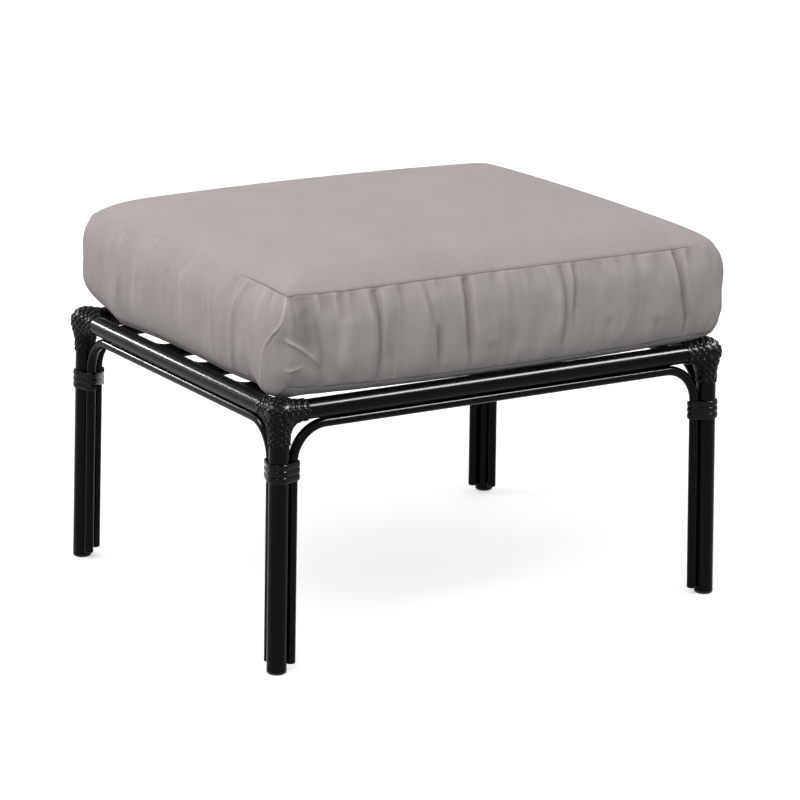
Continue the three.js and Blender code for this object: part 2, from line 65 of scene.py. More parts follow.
view_back = direction(CAMERA_AZIMUTH, CAMERA_ELEVATION)
level_right = Vector((0, 0, 1)).cross(view_back).normalized()
level_up = view_back.cross(level_right)
view_right = level_right * math.cos(CAMERA_ROLL) + level_up * math.sin(CAMERA_ROLL)
view_up = level_up * math.cos(CAMERA_ROLL) - level_right * math.sin(CAMERA_ROLL)
camera = linked("camera", bpy.data.cameras.new("camera"))
camera.data.sensor_width = FILM_WIDTH
camera.data.lens = LENS_LENGTH
camera.data.clip_end = 100
camera.matrix_world = Matrix.Translation(CAMERA_TARGET + view_back * CAMERA_DISTANCE) @ Matrix(
    (view_right, view_up, view_back)).transposed().to_4x4()
bpy.context.scene.camera = camera
bpy.context.scene.view_settings.view_transform = "Standard"


# Studio
# A white floor that runs out into a white surround, a broad lamp high at the
# front left, a weak low one behind on the left, and four cards that only gloss
# sees, which draw the light lines on the tubes.
FLOOR_REACH = 30
LAMP_AIM = Vector((0, 0, 0.35))


def shader(name):
    material = bpy.data.materials.new(name)
    material.use_nodes = True
    material.node_tree.nodes.clear()
    return material, material.node_tree


def node(tree, kind, inputs=None, **settings):
    made = tree.nodes.new(kind)
    for key, value in settings.items():
        setattr(made, key, value)
    for key, value in (inputs or {}).items():
        if isinstance(value, bpy.types.NodeSocket):
            tree.links.new(value, made.inputs[key])
        else:
            made.inputs[key].default_value = value
    return made


def reckoned(tree, operation, *values):
    return node(tree, "ShaderNodeMath", dict(enumerate(values)), operation=operation).outputs[0]


def seen_or_bounced(tree, seen, bounced):
    """One shader for what the camera, gloss and clear things see, one for the light that bounces."""
    ray = node(tree, "ShaderNodeLightPath")
    straight = reckoned(tree, "MAXIMUM", ray.outputs["Is Camera Ray"], ray.outputs["Is Glossy Ray"])
    straight = reckoned(tree, "MAXIMUM", straight, ray.outputs["Is Transmission Ray"])
    mix = node(tree, "ShaderNodeMixShader", {0: straight, 1: bounced.outputs[0], 2: seen.outputs[0]})
    return mix.outputs[0]


def mesh_object(name, verts, faces, smooth=True):
    mesh = bpy.data.meshes.new(name)
    mesh.from_pydata([tuple(v) for v in verts], [], [tuple(f) for f in faces])
    mesh.update()
    if smooth:
        mesh.shade_smooth()
    return linked(name, mesh)


floor_corners = [(FLOOR_REACH * x, FLOOR_REACH * y, 0) for x, y in ((-1, -1), (1, -1), (1, 1), (-1, 1))]
floor = mesh_object("floor", floor_corners, [(0, 1, 2, 3)], smooth=False)
floor_white, tree = shader("floor_white")
lit = node(tree, "ShaderNodeBsdfDiffuse", {"Color": (0.8, 0.8, 0.8, 1)})
glow = node(tree, "ShaderNodeEmission", {"Color": (1, 1, 1, 1), "Strength": 0.55})
bright = node(tree, "ShaderNodeAddShader", {0: lit.outputs[0], 1: glow.outputs[0]})
bounce = node(tree, "ShaderNodeBsdfDiffuse", {"Color": (0.28, 0.315, 0.31, 1)})
node(tree, "ShaderNodeOutputMaterial", {"Surface": seen_or_bounced(tree, bright, bounce)})
floor.data.materials.append(floor_white)

world = bpy.data.worlds.new("studio")
world.use_nodes = True
tree = world.node_tree
tree.nodes.clear()
ambient = node(tree, "ShaderNodeBackground", {"Color": (1, 0.985, 0.99, 1), "Strength": 0.72})
white = node(tree, "ShaderNodeBackground", {"Color": (1, 1, 1, 1), "Strength": 1.0})
node(tree, "ShaderNodeOutputWorld", {"Surface": seen_or_bounced(tree, white, ambient)})
bpy.context.scene.world = world


def area_lamp(name, azimuth, elevation, distance, size, watts, colour=(1, 1, 1), only_gloss=False):
    away = direction(math.radians(azimuth), math.radians(elevation))
    light = bpy.data.lights.new(name, "AREA")
    light.shape = "RECTANGLE"
    light.size, light.size_y = size
    light.energy = watts
    light.color = colour
    lamp = linked(name, light)
    lamp.location = LAMP_AIM + away * distance
    lamp.rotation_euler = (-away).to_track_quat("-Z", "Y").to_euler()
    lamp.visible_camera = False
    lamp.visible_diffuse = not only_gloss


area_lamp("front_lamp", -50, 46, 7.0, (3.0, 3.0), 155, (1, 0.87, 0.9))
area_lamp("left_lamp", -138, 16, 3.0, (1.5, 1.5), 20, (1, 0.85, 0.88))
area_lamp("front_card", 42, 41, 3.0, (1.5, 0.6), 420, only_gloss=True)
area_lamp("back_card", -155, 18, 3.0, (0.6, 0.2), 60, only_gloss=True)
area_lamp("left_card", -112, 38, 3.0, (0.7, 0.5), 130, only_gloss=True)
area_lamp("right_card", 84, 36, 3.0, (0.7, 0.5), 130, only_gloss=True)


# Rails and posts
# Round aluminium tube, mitred and welded in the corners, under a black powder
# coat. The posts stand out a little towards the floor.
HALF_WIDTH = 0.322
HALF_DEPTH = 0.266
HALF_SIZE = (HALF_WIDTH, HALF_DEPTH)
RAIL_HEIGHT = 0.333
POST_BOTTOM = 0.0043
LEG_LEAN = 0.0057
TUBE_RADIUS = 0.0127
TUBE_SIDES = 64
MITRE_TRIM = 0.0078
CLEARANCE = 0.0003

# Each side's axis (0 for X, 1 for Y) and the end of the other axis where it stands
SIDES = {"front": (0, -1), "back": (0, 1), "left": (1, -1), "right": (1, 1)}
CORNERS = {"front_left": (-1, -1), "front_right": (1, -1), "back_left": (-1, 1), "back_right": (1, 1)}


def noise(tree, scale, detail):
    """A fine cloudy pattern that stays on its piece."""
    place = node(tree, "ShaderNodeTexCoord")
    return node(tree, "ShaderNodeTexNoise", {
        "Vector": place.outputs["Object"], "Scale": scale, "Detail": detail}).outputs["Fac"]


def ranged(tree, value, low, high, value_low=0.0, value_high=1.0):
    """A value carried over from its own range to another."""
    return node(tree, "ShaderNodeMapRange", {
        "Value": value, "From Min": value_low, "From Max": value_high,
        "To Min": low, "To Max": high}).outputs[0]


def bumped(tree, height, strength, distance=0.0002):
    return node(tree, "ShaderNodeBump", {
        "Height": height, "Strength": strength, "Distance": distance}).outputs[0]


def surfaced(material, looks):
    tree = material.node_tree
    surface = node(tree, "ShaderNodeBsdfPrincipled", looks)
    node(tree, "ShaderNodeOutputMaterial", {"Surface": surface.outputs[0]})
    return material


def powder_coat():
    material, tree = shader("black_powder_coat")
    return surfaced(material, {
        "Base Color": (0.0023, 0.0023, 0.0022, 1), "Specular IOR Level": 0.06,
        "Roughness": ranged(tree, noise(tree, 35.0, 3.0), 0.16, 0.21, 0.3, 0.7),
        "Normal": bumped(tree, noise(tree, 900.0, 2.0), 0.012)})


BLACK_COAT = powder_coat()


def leaned(point):
    depth = max(0.0, RAIL_HEIGHT - point[2]) / RAIL_HEIGHT
    return Vector((point[0] + LEG_LEAN * depth * point[0] / HALF_WIDTH,
                   point[1] + LEG_LEAN * depth * point[1] / HALF_DEPTH, point[2]))


def on_side(along, side, reach, height):
    """A point in the upright plane of one side of the frame."""
    return (reach, side * HALF_DEPTH, height) if along == 0 else (side * HALF_WIDTH, reach, height)


def geometry_tree(name, *sizes):
    """A node tree with a name, a kind and a start value for each size that it takes."""
    tree = bpy.data.node_groups.new(name, "GeometryNodeTree")
    tree.interface.new_socket("Geometry", in_out="OUTPUT", socket_type="NodeSocketGeometry")
    for label, kind, value in (*sizes, ("Finish", "Material", None)):
        made = tree.interface.new_socket(label, in_out="INPUT", socket_type="NodeSocket" + kind)
        if value is not None:
            made.default_value = value
    return tree, tree.nodes.new("NodeGroupInput").outputs


def ended(tree, shape, finish, smooth=True):
    """Ends a node tree: its shape as one plain mesh, in its finish."""
    whole = node(tree, "GeometryNodeRealizeInstances", {"Geometry": shape.outputs[0]})
    if smooth:
        whole = node(tree, "GeometryNodeSetShadeSmooth", {"Geometry": whole.outputs[0]})
    coated = node(tree, "GeometryNodeSetMaterial", {"Geometry": whole.outputs[0], "Material": finish})
    node(tree, "NodeGroupOutput", {"Geometry": coated.outputs[0]})
    return tree


def made_real(obj):
    """The plain mesh that an object's modifiers make."""
    bpy.context.view_layer.update()
    return bpy.data.meshes.new_from_object(
        obj.evaluated_get(bpy.context.evaluated_depsgraph_get()))


def grown(name, source, tree, sizes):
    """The piece that a node tree makes on its guide line or points."""
    guide = linked("guide", source)
    modifier = guide.modifiers.new("grow", "NODES")
    modifier.node_group = tree
    for item in tree.interface.items_tree:
        if item.in_out == "INPUT" and item.name in sizes:
            modifier[item.identifier] = sizes[item.name]
    mesh = made_real(guide)
    bpy.data.objects.remove(guide)
    mesh.name = name
    return linked(name, mesh)


def tube_tree():
    tree, given = geometry_tree(
        "drawn_tube", ("Line", "Geometry", None), ("Radius", "Float", 0.01), ("Sides", "Int", 48))
    line = node(tree, "GeometryNodeMeshToCurve", {"Mesh": given["Line"]})
    ring = node(tree, "GeometryNodeCurvePrimitiveCircle", {
        "Radius": given["Radius"], "Resolution": given["Sides"]})
    tube = node(tree, "GeometryNodeCurveToMesh", {
        "Curve": line.outputs[0], "Profile Curve": ring.outputs[0], "Fill Caps": True})
    return ended(tree, tube, given["Finish"])


DRAWN_TUBE = tube_tree()


def line_mesh(points):
    mesh = bpy.data.meshes.new("line")
    mesh.from_pydata([tuple(p) for p in points], [(i, i + 1) for i in range(len(points) - 1)], [])
    return mesh


def drawn_tube(name, points, radius, finish, sides=TUBE_SIDES):
    return grown(name, line_mesh(points), DRAWN_TUBE,
                 {"Radius": radius, "Sides": sides, "Finish": finish})


def flat_ends(obj, angle=40):
    """Hard edges where the tube's wall meets its end faces."""
    edges = bmesh.new()
    edges.from_mesh(obj.data)
    bmesh.ops.recalc_face_normals(edges, faces=edges.faces)
    for edge in edges.edges:
        edge.smooth = not (len(edge.link_faces) == 2 and edge.calc_face_angle() > math.radians(angle))
    edges.to_mesh(obj.data)
    edges.free()


def mitred(obj, along, side):
    """Cuts both ends of a rail at 45 degrees and takes their sharp outer edge off."""
    across = 1 - along
    for vertex in obj.data.vertices:
        if abs(vertex.co[along]) > HALF_SIZE[along] * 0.9:
            out = min(vertex.co[across] * side - HALF_SIZE[across], MITRE_TRIM)
            vertex.co[along] = math.copysign(1, vertex.co[along]) * (HALF_SIZE[along] + out - CLEARANCE)


for side_name, (along, side) in SIDES.items():
    shares = (-1, -0.6, -0.2, 0.2, 0.6, 1)
    line = [on_side(along, side, share * HALF_SIZE[along], RAIL_HEIGHT) for share in shares]
    rail = drawn_tube(f"{side_name}_rail_tube", line, TUBE_RADIUS, BLACK_COAT)
    mitred(rail, along, side)
    flat_ends(rail)
    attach(rail, "frame")
    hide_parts(f"{side_name}_rail")

for corner, (sx, sy) in CORNERS.items():
    heights = (POST_BOTTOM, 0.08, 0.16, 0.24, RAIL_HEIGHT - TUBE_RADIUS - CLEARANCE)
    line = [leaned((sx * HALF_WIDTH, sy * HALF_DEPTH, height)) for height in heights]
    post = drawn_tube(f"post_{corner}_tube", line, TUBE_RADIUS, BLACK_COAT)
    flat_ends(post)
    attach(post, "frame")
    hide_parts(f"post_{corner}")


# Hoops
# Half-inch tube bent to an upside-down U inside each side of the frame, its
# legs beside two posts and its run welded along under the rail.
HOOP_TUBE_RADIUS = 0.00635
HOOP_OFFSET = TUBE_RADIUS + HOOP_TUBE_RADIUS + CLEARANCE
HOOP_BEND = 0.046
HOOP_BEND_STEPS = 24
HOOP_BOTTOM = 0.0118


def hoop_line(reach, top):
    line = [(-reach, z) for z in (HOOP_BOTTOM, 0.09, 0.18)]
    for step in range(HOOP_BEND_STEPS + 1):
        turn = math.pi / 2 * step / HOOP_BEND_STEPS
        line.append((-reach + HOOP_BEND * (1 - math.cos(turn)), top - HOOP_BEND * (1 - math.sin(turn))))
    line += [(x * (reach - HOOP_BEND), top) for x in (-0.5, 0)]
    return line + [(-x, z) for x, z in reversed(line[:-1])]


for side_name, (along, side) in SIDES.items():
    line = hoop_line(HALF_SIZE[along] - HOOP_OFFSET, RAIL_HEIGHT - HOOP_OFFSET)
    points = [leaned(on_side(along, side, reach, z)) for reach, z in line]
    hoop = drawn_tube(f"{side_name}_hoop_tube", points, HOOP_TUBE_RADIUS, BLACK_COAT, sides=32)
    flat_ends(hoop)
    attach(hoop, "frame")
    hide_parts(f"{side_name}_hoop")


# Feet
# Moulded black plastic: a domed glide in the foot of each post and a small
# plug in each leg of a hoop, pushed in by their stems.
GLIDE_HEIGHT, GLIDE_STEM = 0.004, (0.0108, 0.014)
PLUG_BOTTOM, PLUG_HEIGHT, PLUG_STEM = 0.0095, 0.002, (0.0048, 0.008)


def moulded_plastic():
    material, tree = shader("black_moulded_plastic")
    grain = noise(tree, 1400.0, 3.0)
    return surfaced(material, {
        "Base Color": (0.008, 0.008, 0.008, 1), "Specular IOR Level": 0.2,
        "Roughness": ranged(tree, grain, 0.38, 0.55), "Normal": bumped(tree, grain, 0.25)})


BLACK_PLASTIC = moulded_plastic()


def circle(sides):
    angles = [2 * math.pi * i / sides for i in range(sides)]
    return [(math.cos(angle), math.sin(angle)) for angle in angles]


def ring_faces(rings, sides, closed=False):
    """The quads between rings of points, and from the last ring to the first if closed."""
    faces = []
    for ring in range(rings if closed else rings - 1):
        a, b = ring * sides, (ring + 1) % rings * sides
        for i in range(sides):
            j = (i + 1) % sides
            faces.append((a + i, a + j, b + j, b + i))
    return faces


def domed_foot(name, place, radius, height, stem, sides):
    """A closed turned foot on an upright axis: a low dome and the stem above it."""
    stem_radius, stem_length = stem
    rings = [(radius * share, height * rise) for share, rise in (
        (0.5, 0.0), (0.78, 0.02), (0.86, 0.1), (0.93, 0.28), (0.98, 0.55), (1.0, 0.85), (1.0, 1.0))]
    rings += [(stem_radius, height), (stem_radius, height + stem_length * 0.9),
              (stem_radius * 0.85, height + stem_length)]
    x, y, z = place
    verts = [(x + r * c, y + r * s, z + up) for r, up in rings for c, s in circle(sides)]
    faces = ring_faces(len(rings), sides)
    bottom, top = len(verts), len(verts) + 1
    verts += [(x, y, z), (x, y, z + height + stem_length)]
    last = (len(rings) - 1) * sides
    for i in range(sides):
        j = (i + 1) % sides
        faces += [(bottom, j, i), (top, last + i, last + j)]
    foot = mesh_object(name, verts, faces)
    flat_ends(foot, 50)
    foot.data.materials.append(BLACK_PLASTIC)
    return foot


for corner, (sx, sy) in CORNERS.items():
    at = leaned((sx * HALF_WIDTH, sy * HALF_DEPTH, GLIDE_HEIGHT / 2))
    glide = domed_foot(f"foot_glide_{corner}_domed", (at.x, at.y, 0), TUBE_RADIUS,
                       GLIDE_HEIGHT, GLIDE_STEM, sides=48)
    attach(glide, "frame")
    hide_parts(f"foot_glide_{corner}")

for side_name, (along, side) in SIDES.items():
    ends = ("left", "right") if along == 0 else ("front", "back")
    for end, sign in zip(ends, (-1, 1)):
        reach = sign * (HALF_SIZE[along] - HOOP_OFFSET)
        at = leaned(on_side(along, side, reach, PLUG_BOTTOM + PLUG_HEIGHT / 2))
        plug = domed_foot(f"plug_{side_name}_hoop_{end}_domed", (at.x, at.y, PLUG_BOTTOM),
                          HOOP_TUBE_RADIUS, PLUG_HEIGHT, PLUG_STEM, sides=28)
        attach(plug, "frame")
        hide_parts(f"plug_{side_name}_hoop_{end}")


# Corner wraps
# Flat resin cane plaited over each welded corner: a dark sleeve lies over the
# joint, and on it the strands show as short grains in zigzag columns.
SLEEVE_RADIUS = 0.0132
GRAIN_RADIUS = 0.0138
WRAP_RAIL_REACH = 0.037
WRAP_POST_REACH = 0.041
CORNER_ROUNDING = 0.014
WEB_ROUNDING = 0.02
SKIN_CELL = 0.0013
SKIN_END_BAND = 0.0008
GRAIN_LENGTH = 0.0098
GRAIN_WIDTH = 0.0044
GRAIN_COLUMN = 0.0046
GRAINS_ROUND = 10
GRAIN_SLANT = 40
GRAIN_SINK = 0.0007
GRAIN_RISE = 0.0011
GRAIN_HALF_THICKNESS = 0.00085
GRAIN_END_DEPTH = 0.0004
FIRST_COLUMN = 0.55
RAIL_COLUMNS_FROM = -0.014
POST_COLUMNS_FROM = 0.004
OFF_MITRE = 0.0005
OFF_POST, OFF_RAILS = 1.02, 1.04
QUARTERS = {"front_left": 0, "front_right": 1, "back_right": 2, "back_left": 3}


def mixed(tree, share, dark, light):
    return node(tree, "ShaderNodeMix", {"Factor": share, "A": dark, "B": light},
                data_type="RGBA").outputs["Result"]


def resin_cane(name, smoothest, roughest, gloss):
    material, tree = shader(name)
    fibre = noise(tree, 700.0, 3.0)
    return surfaced(material, {
        "Base Color": mixed(tree, fibre, (0.002, 0.002, 0.002, 1), (0.0045, 0.0045, 0.004, 1)),
        "Specular IOR Level": gloss, "Roughness": ranged(tree, fibre, smoothest, roughest, 0.3, 0.7),
        "Normal": bumped(tree, fibre, 0.12, 0.0003)})


BLACK_CANE = resin_cane("black_resin_cane", 0.27, 0.36, 0.09)


def rounded_min(a, b, size):
    overlap = np.maximum(size - np.abs(a - b), 0) / size
    return np.minimum(a, b) - size * overlap ** 2 / 4


def sleeve_distance(points, radius):
    """Distance outside a sleeve over rails that run to +X and +Y and a post below."""
    inner = rounded_min(points[:, 0], points[:, 1], CORNER_ROUNDING)
    elbow = np.hypot(inner, points[:, 2]) - radius
    below = np.maximum(points[:, 2], 0)
    post = np.sqrt(points[:, 0] ** 2 + points[:, 1] ** 2 + below ** 2) - radius
    return rounded_min(elbow, post, WEB_ROUNDING)


def sleeve_slope(points, radius):
    step = 1e-5
    slope = np.stack([
        sleeve_distance(points + step * axis, radius) - sleeve_distance(points - step * axis, radius)
        for axis in np.eye(3)], axis=1)
    return slope / np.maximum(np.linalg.norm(slope, axis=1, keepdims=True), 1e-12)


def onto_sleeve(points, radius, rounds=12):
    for _ in range(rounds):
        points = points - 0.8 * sleeve_distance(points, radius)[:, None] * sleeve_slope(points, radius)
    return points


def from_bmesh(name, made):
    mesh = bpy.data.meshes.new(name)
    made.to_mesh(mesh)
    made.free()
    return linked(name, mesh)


def read(items, label, width=1, kind=float):
    """One value of all the items in a list of a mesh, a row for each item."""
    values = np.empty(len(items) * width, kind)
    items.foreach_get(label, values)
    return values.reshape(-1, width) if width > 1 else values


def sleeve_skin():
    """Three rods run together by a fine remesh, then set on the sleeve's surface."""
    reaches = (WRAP_RAIL_REACH, WRAP_RAIL_REACH, -WRAP_POST_REACH)
    turns = (Matrix.Rotation(math.pi / 2, 3, "Y"), Matrix.Rotation(math.pi / 2, 3, "X"), Matrix.Identity(3))
    rods = bmesh.new()
    for axis, (reach, turn) in enumerate(zip(reaches, turns)):
        made = bmesh.ops.create_cone(rods, cap_ends=True, segments=40, radius1=SLEEVE_RADIUS,
                                     radius2=SLEEVE_RADIUS, depth=abs(reach) + SLEEVE_RADIUS)
        middle = (reach - math.copysign(SLEEVE_RADIUS, reach)) / 2
        for vertex in made["verts"]:
            vertex.co = turn @ vertex.co
            vertex.co[axis] += middle
    rough = from_bmesh("rods", rods)
    remesh = rough.modifiers.new("run together", "REMESH")
    remesh.mode, remesh.voxel_size = "VOXEL", SKIN_CELL
    skin = made_real(rough)
    bpy.data.objects.remove(rough)
    points = read(skin.vertices, "co", 3)
    at_end = np.abs(points * (1, 1, -1) - np.abs(reaches)) < SKIN_END_BAND
    free = ~at_end.any(axis=1)
    points[free] = onto_sleeve(points[free], SLEEVE_RADIUS)
    return points, [tuple(f.vertices) for f in skin.polygons]


SKIN_POINTS, SKIN_FACES = sleeve_skin()


def grain_places():
    """Where the grains of one wrap lie, which way they face and which way they run."""
    places, directions = [], []
    arms = (((1, 0, 0), (0, 1, 0), (0, 0, 1), WRAP_RAIL_REACH, RAIL_COLUMNS_FROM),
            ((0, 1, 0), (0, 0, 1), (1, 0, 0), WRAP_RAIL_REACH, RAIL_COLUMNS_FROM),
            ((0, 0, -1), (1, 0, 0), (0, 1, 0), WRAP_POST_REACH, POST_COLUMNS_FROM))
    for number, (along, u, v, reach, start) in enumerate(arms):
        along, u, v = (np.array(a, float) for a in (along, u, v))
        columns = int((reach - start) / GRAIN_COLUMN)
        for column in range(columns):
            step = reach - GRAIN_COLUMN * (column + FIRST_COLUMN)
            for i in range(GRAINS_ROUND):
                angle = 2 * math.pi * (i + 0.5 * (column % 2)) / GRAINS_ROUND
                out = u * math.cos(angle) + v * math.sin(angle)
                place = along * step + out * GRAIN_RADIUS
                x, y, z = place
                if number < 2:
                    # a rail's grain stays on its own side of the mitre and off the post
                    own, other = (y, x) if number == 0 else (x, y)
                    if other < own + OFF_MITRE * (number == 0):
                        continue
                    if z < 0 and math.hypot(x, y) < GRAIN_RADIUS * OFF_POST:
                        continue
                elif math.hypot(min(x, y), z) < GRAIN_RADIUS * OFF_RAILS:
                    continue
                slant = math.radians(GRAIN_SLANT if column % 2 else -GRAIN_SLANT)
                round_way = np.cross(along, out)
                places.append(place)
                directions.append(along * math.cos(slant) + round_way * math.sin(slant))
    places = onto_sleeve(np.array(places), GRAIN_RADIUS - GRAIN_SINK)
    outward = sleeve_slope(places, GRAIN_RADIUS)
    return places, outward, np.array(directions)


GRAIN_PLACES, GRAIN_OUTWARD, GRAIN_DIRECTIONS = grain_places()


def grain_shape():
    """One visible length of a strand: rounded across, both ends dipping under."""
    verts, rows, sides = [], 6, 6
    for row in range(1, rows):
        share = row / rows
        swell = math.sin(math.pi * share) ** 0.5
        rise = GRAIN_RISE * (math.sin(math.pi * share) - 0.35)
        verts += [((share - 0.5) * GRAIN_LENGTH, GRAIN_WIDTH / 2 * swell * c,
                   rise + GRAIN_HALF_THICKNESS * swell * s) for c, s in circle(sides)]
    faces = [(a, d, c, b) for a, b, c, d in ring_faces(rows - 1, sides)]
    first, last = len(verts), len(verts) + 1
    verts += [(-GRAIN_LENGTH / 2, 0, -GRAIN_END_DEPTH), (GRAIN_LENGTH / 2, 0, -GRAIN_END_DEPTH)]
    end = (rows - 2) * sides
    for i in range(sides):
        j = (i + 1) % sides
        faces += [(first, i, j), (last, end + j, end + i)]
    return mesh_object("grain", verts, faces)


GRAIN = grain_shape()
GRAIN.hide_render = True


def plait_tree():
    tree, given = geometry_tree(
        "plaited_grains", ("Points", "Geometry", None), ("Grain", "Object", None),
        ("Size", "Float", 1.0), ("Unevenness", "Float", 0.08))
    shape = node(tree, "GeometryNodeObjectInfo", {"Object": given["Grain"]})
    way, out = (node(tree, "GeometryNodeInputNamedAttribute", {"Name": label}, data_type="FLOAT_VECTOR")
                for label in ("strand_way", "face_out"))
    turn = node(tree, "FunctionNodeAlignRotationToVector", {"Vector": out.outputs[0]}, axis="Z")
    turn = node(tree, "FunctionNodeAlignRotationToVector", {
        "Rotation": turn.outputs[0], "Vector": way.outputs[0]}, axis="X", pivot_axis="Z")
    size = node(tree, "FunctionNodeRandomValue", {
        2: reckoned(tree, "SUBTRACT", given["Size"], given["Unevenness"]),
        3: reckoned(tree, "ADD", given["Size"], given["Unevenness"]), "Seed": 7}, data_type="FLOAT")
    laid = node(tree, "GeometryNodeInstanceOnPoints", {
        "Points": given["Points"], "Instance": shape.outputs["Geometry"],
        "Rotation": turn.outputs[0], "Scale": size.outputs[1]})
    return ended(tree, laid, given["Finish"])


PLAITED_GRAINS = plait_tree()


def to_corner(points, corner, is_place=True):
    """Turns what was made for rails to +X and +Y into its own corner."""
    angle = QUARTERS[corner] * math.pi / 2
    c, s = round(math.cos(angle)), round(math.sin(angle))
    x, y, z = points.T
    turned = np.stack([c * x - s * y, s * x + c * y, z], axis=1)
    if not is_place:
        return turned
    sx, sy = CORNERS[corner]
    moved = turned + np.array([sx * HALF_WIDTH, sy * HALF_DEPTH, RAIL_HEIGHT])
    return np.array([leaned(q) for q in moved])


for corner in CORNERS:
    skin = mesh_object("skin", to_corner(SKIN_POINTS, corner), SKIN_FACES)
    spots = bpy.data.meshes.new("spots")
    spots.from_pydata([tuple(q) for q in to_corner(GRAIN_PLACES, corner)], [], [])
    for label, values in (("face_out", GRAIN_OUTWARD), ("strand_way", GRAIN_DIRECTIONS)):
        ways = to_corner(values, corner, is_place=False).astype(np.float32)
        spots.attributes.new(label, "FLOAT_VECTOR", "POINT").data.foreach_set("vector", ways.ravel())
    wrap = grown(f"corner_wrap_{corner}_plait", spots, PLAITED_GRAINS,
                 {"Grain": GRAIN, "Size": 1.0, "Unevenness": 0.08, "Finish": BLACK_CANE})
    both = bmesh.new()
    both.from_mesh(wrap.data)
    both.from_mesh(skin.data)
    both.to_mesh(wrap.data)
    both.free()
    bpy.data.objects.remove(skin)
    wrap.data.materials.clear()
    wrap.data.materials.append(BLACK_CANE)
    wrap.data.polygons.foreach_set("material_index", np.zeros(len(wrap.data.polygons), np.int32))
    wrap.data.shade_smooth()
    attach(wrap, "frame")
    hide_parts(f"corner_wrap_{corner}")
bpy.data.objects.remove(GRAIN)


# Leg bindings
# One black cane, oval across, wound three times round a post and the two hoop
# legs beside it, climbing from turn to turn between the hoop legs.
CANE_THICKNESS = 0.0026
CANE_WIDTH = 0.0078
CANE_PITCH = 0.0083
CANE_TURNS = 3
BINDING_DROP = 0.0775
BINDING_SLACK = {"front_left": 0.0028, "front_right": 0, "back_left": -0.0028, "back_right": 0}


def binding_tree():
    tree, given = geometry_tree(
        "wound_cane", ("Line", "Geometry", None), ("Width", "Float", 0.007), ("Thickness", "Float", 0.002))
    line = node(tree, "GeometryNodeMeshToCurve", {"Mesh": given["Line"]})
    upright = node(tree, "GeometryNodeSetCurveNormal", {"Curve": line.outputs[0]})
    upright.mode = "Z_UP"
    ring = node(tree, "GeometryNodeCurvePrimitiveCircle", {"Radius": 0.5, "Resolution": 14})
    shape = node(tree, "ShaderNodeCombineXYZ", {"X": given["Thickness"], "Y": given["Width"], "Z": 1.0})
    oval = node(tree, "GeometryNodeTransform", {"Geometry": ring.outputs[0], "Scale": shape.outputs[0]})
    cane = node(tree, "GeometryNodeCurveToMesh", {
        "Curve": upright.outputs[0], "Profile Curve": oval.outputs[0], "Fill Caps": True})
    return ended(tree, cane, given["Finish"])


WOUND_CANE = binding_tree()
SMOOTH_CANE = resin_cane("smooth_resin_cane", 0.13, 0.19, 0.11)


def binding_line():
    """The cane's middle line round a post at the origin with hoop legs at +X and +Y."""
    lift = CLEARANCE + CANE_THICKNESS / 2
    big, small = TUBE_RADIUS + lift, HOOP_TUBE_RADIUS + lift
    swing = math.acos((big - small) / HOOP_OFFSET)
    arcs = ((0, HOOP_OFFSET, small, math.pi / 4, math.pi / 2 + swing),
            (0, 0, big, math.pi / 2 + swing, 2 * math.pi - swing),
            (HOOP_OFFSET, 0, small, -swing, math.pi / 4))
    loop = []
    for x, y, radius, start, end in arcs:
        steps = 8 if radius == small else 20
        for step in range(steps + 1):
            angle = start + (end - start) * step / steps
            loop.append((x + radius * math.cos(angle), y + radius * math.sin(angle)))
    loop = loop[1:-1]
    line = []
    for turn in range(CANE_TURNS):
        level = CANE_PITCH * (turn - (CANE_TURNS - 1) / 2)
        line += [(x, y, level) for x, y in loop]
    return np.array(line)


for corner, (sx, sy) in CORNERS.items():
    line = binding_line()
    line = line * np.array([-sx, -sy, 1]) + np.array([
        sx * HALF_WIDTH, sy * HALF_DEPTH, RAIL_HEIGHT - BINDING_DROP + BINDING_SLACK[corner]])
    binding = grown(f"leg_binding_{corner}_cane", line_mesh([leaned(q) for q in line]), WOUND_CANE,
                    {"Width": CANE_WIDTH, "Thickness": CANE_THICKNESS, "Finish": SMOOTH_CANE})
    flat_ends(binding, 50)
    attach(binding, "frame")
    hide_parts(f"leg_binding_{corner}")


# Slats
# Four flat aluminium bars, three wide and one narrow, let into the short rails
# with a weld that widens each end in a fillet, and coated with the frame.
SLAT_TOP = 0.009
SLAT_THICKNESS = 0.004
SLAT_FILLET = 0.012
SLAT_END_INSET = 0.0095
SLAT_SHOULDER_INSET = 0.0105
SLAT_WORN_EDGE = 0.0007
# Each slat's place from front to back, and its width
SLAT_SIZES = ((-0.17556, 0.057), (-0.064372, 0.057), (0.042028, 0.057), (0.156408, 0.022))


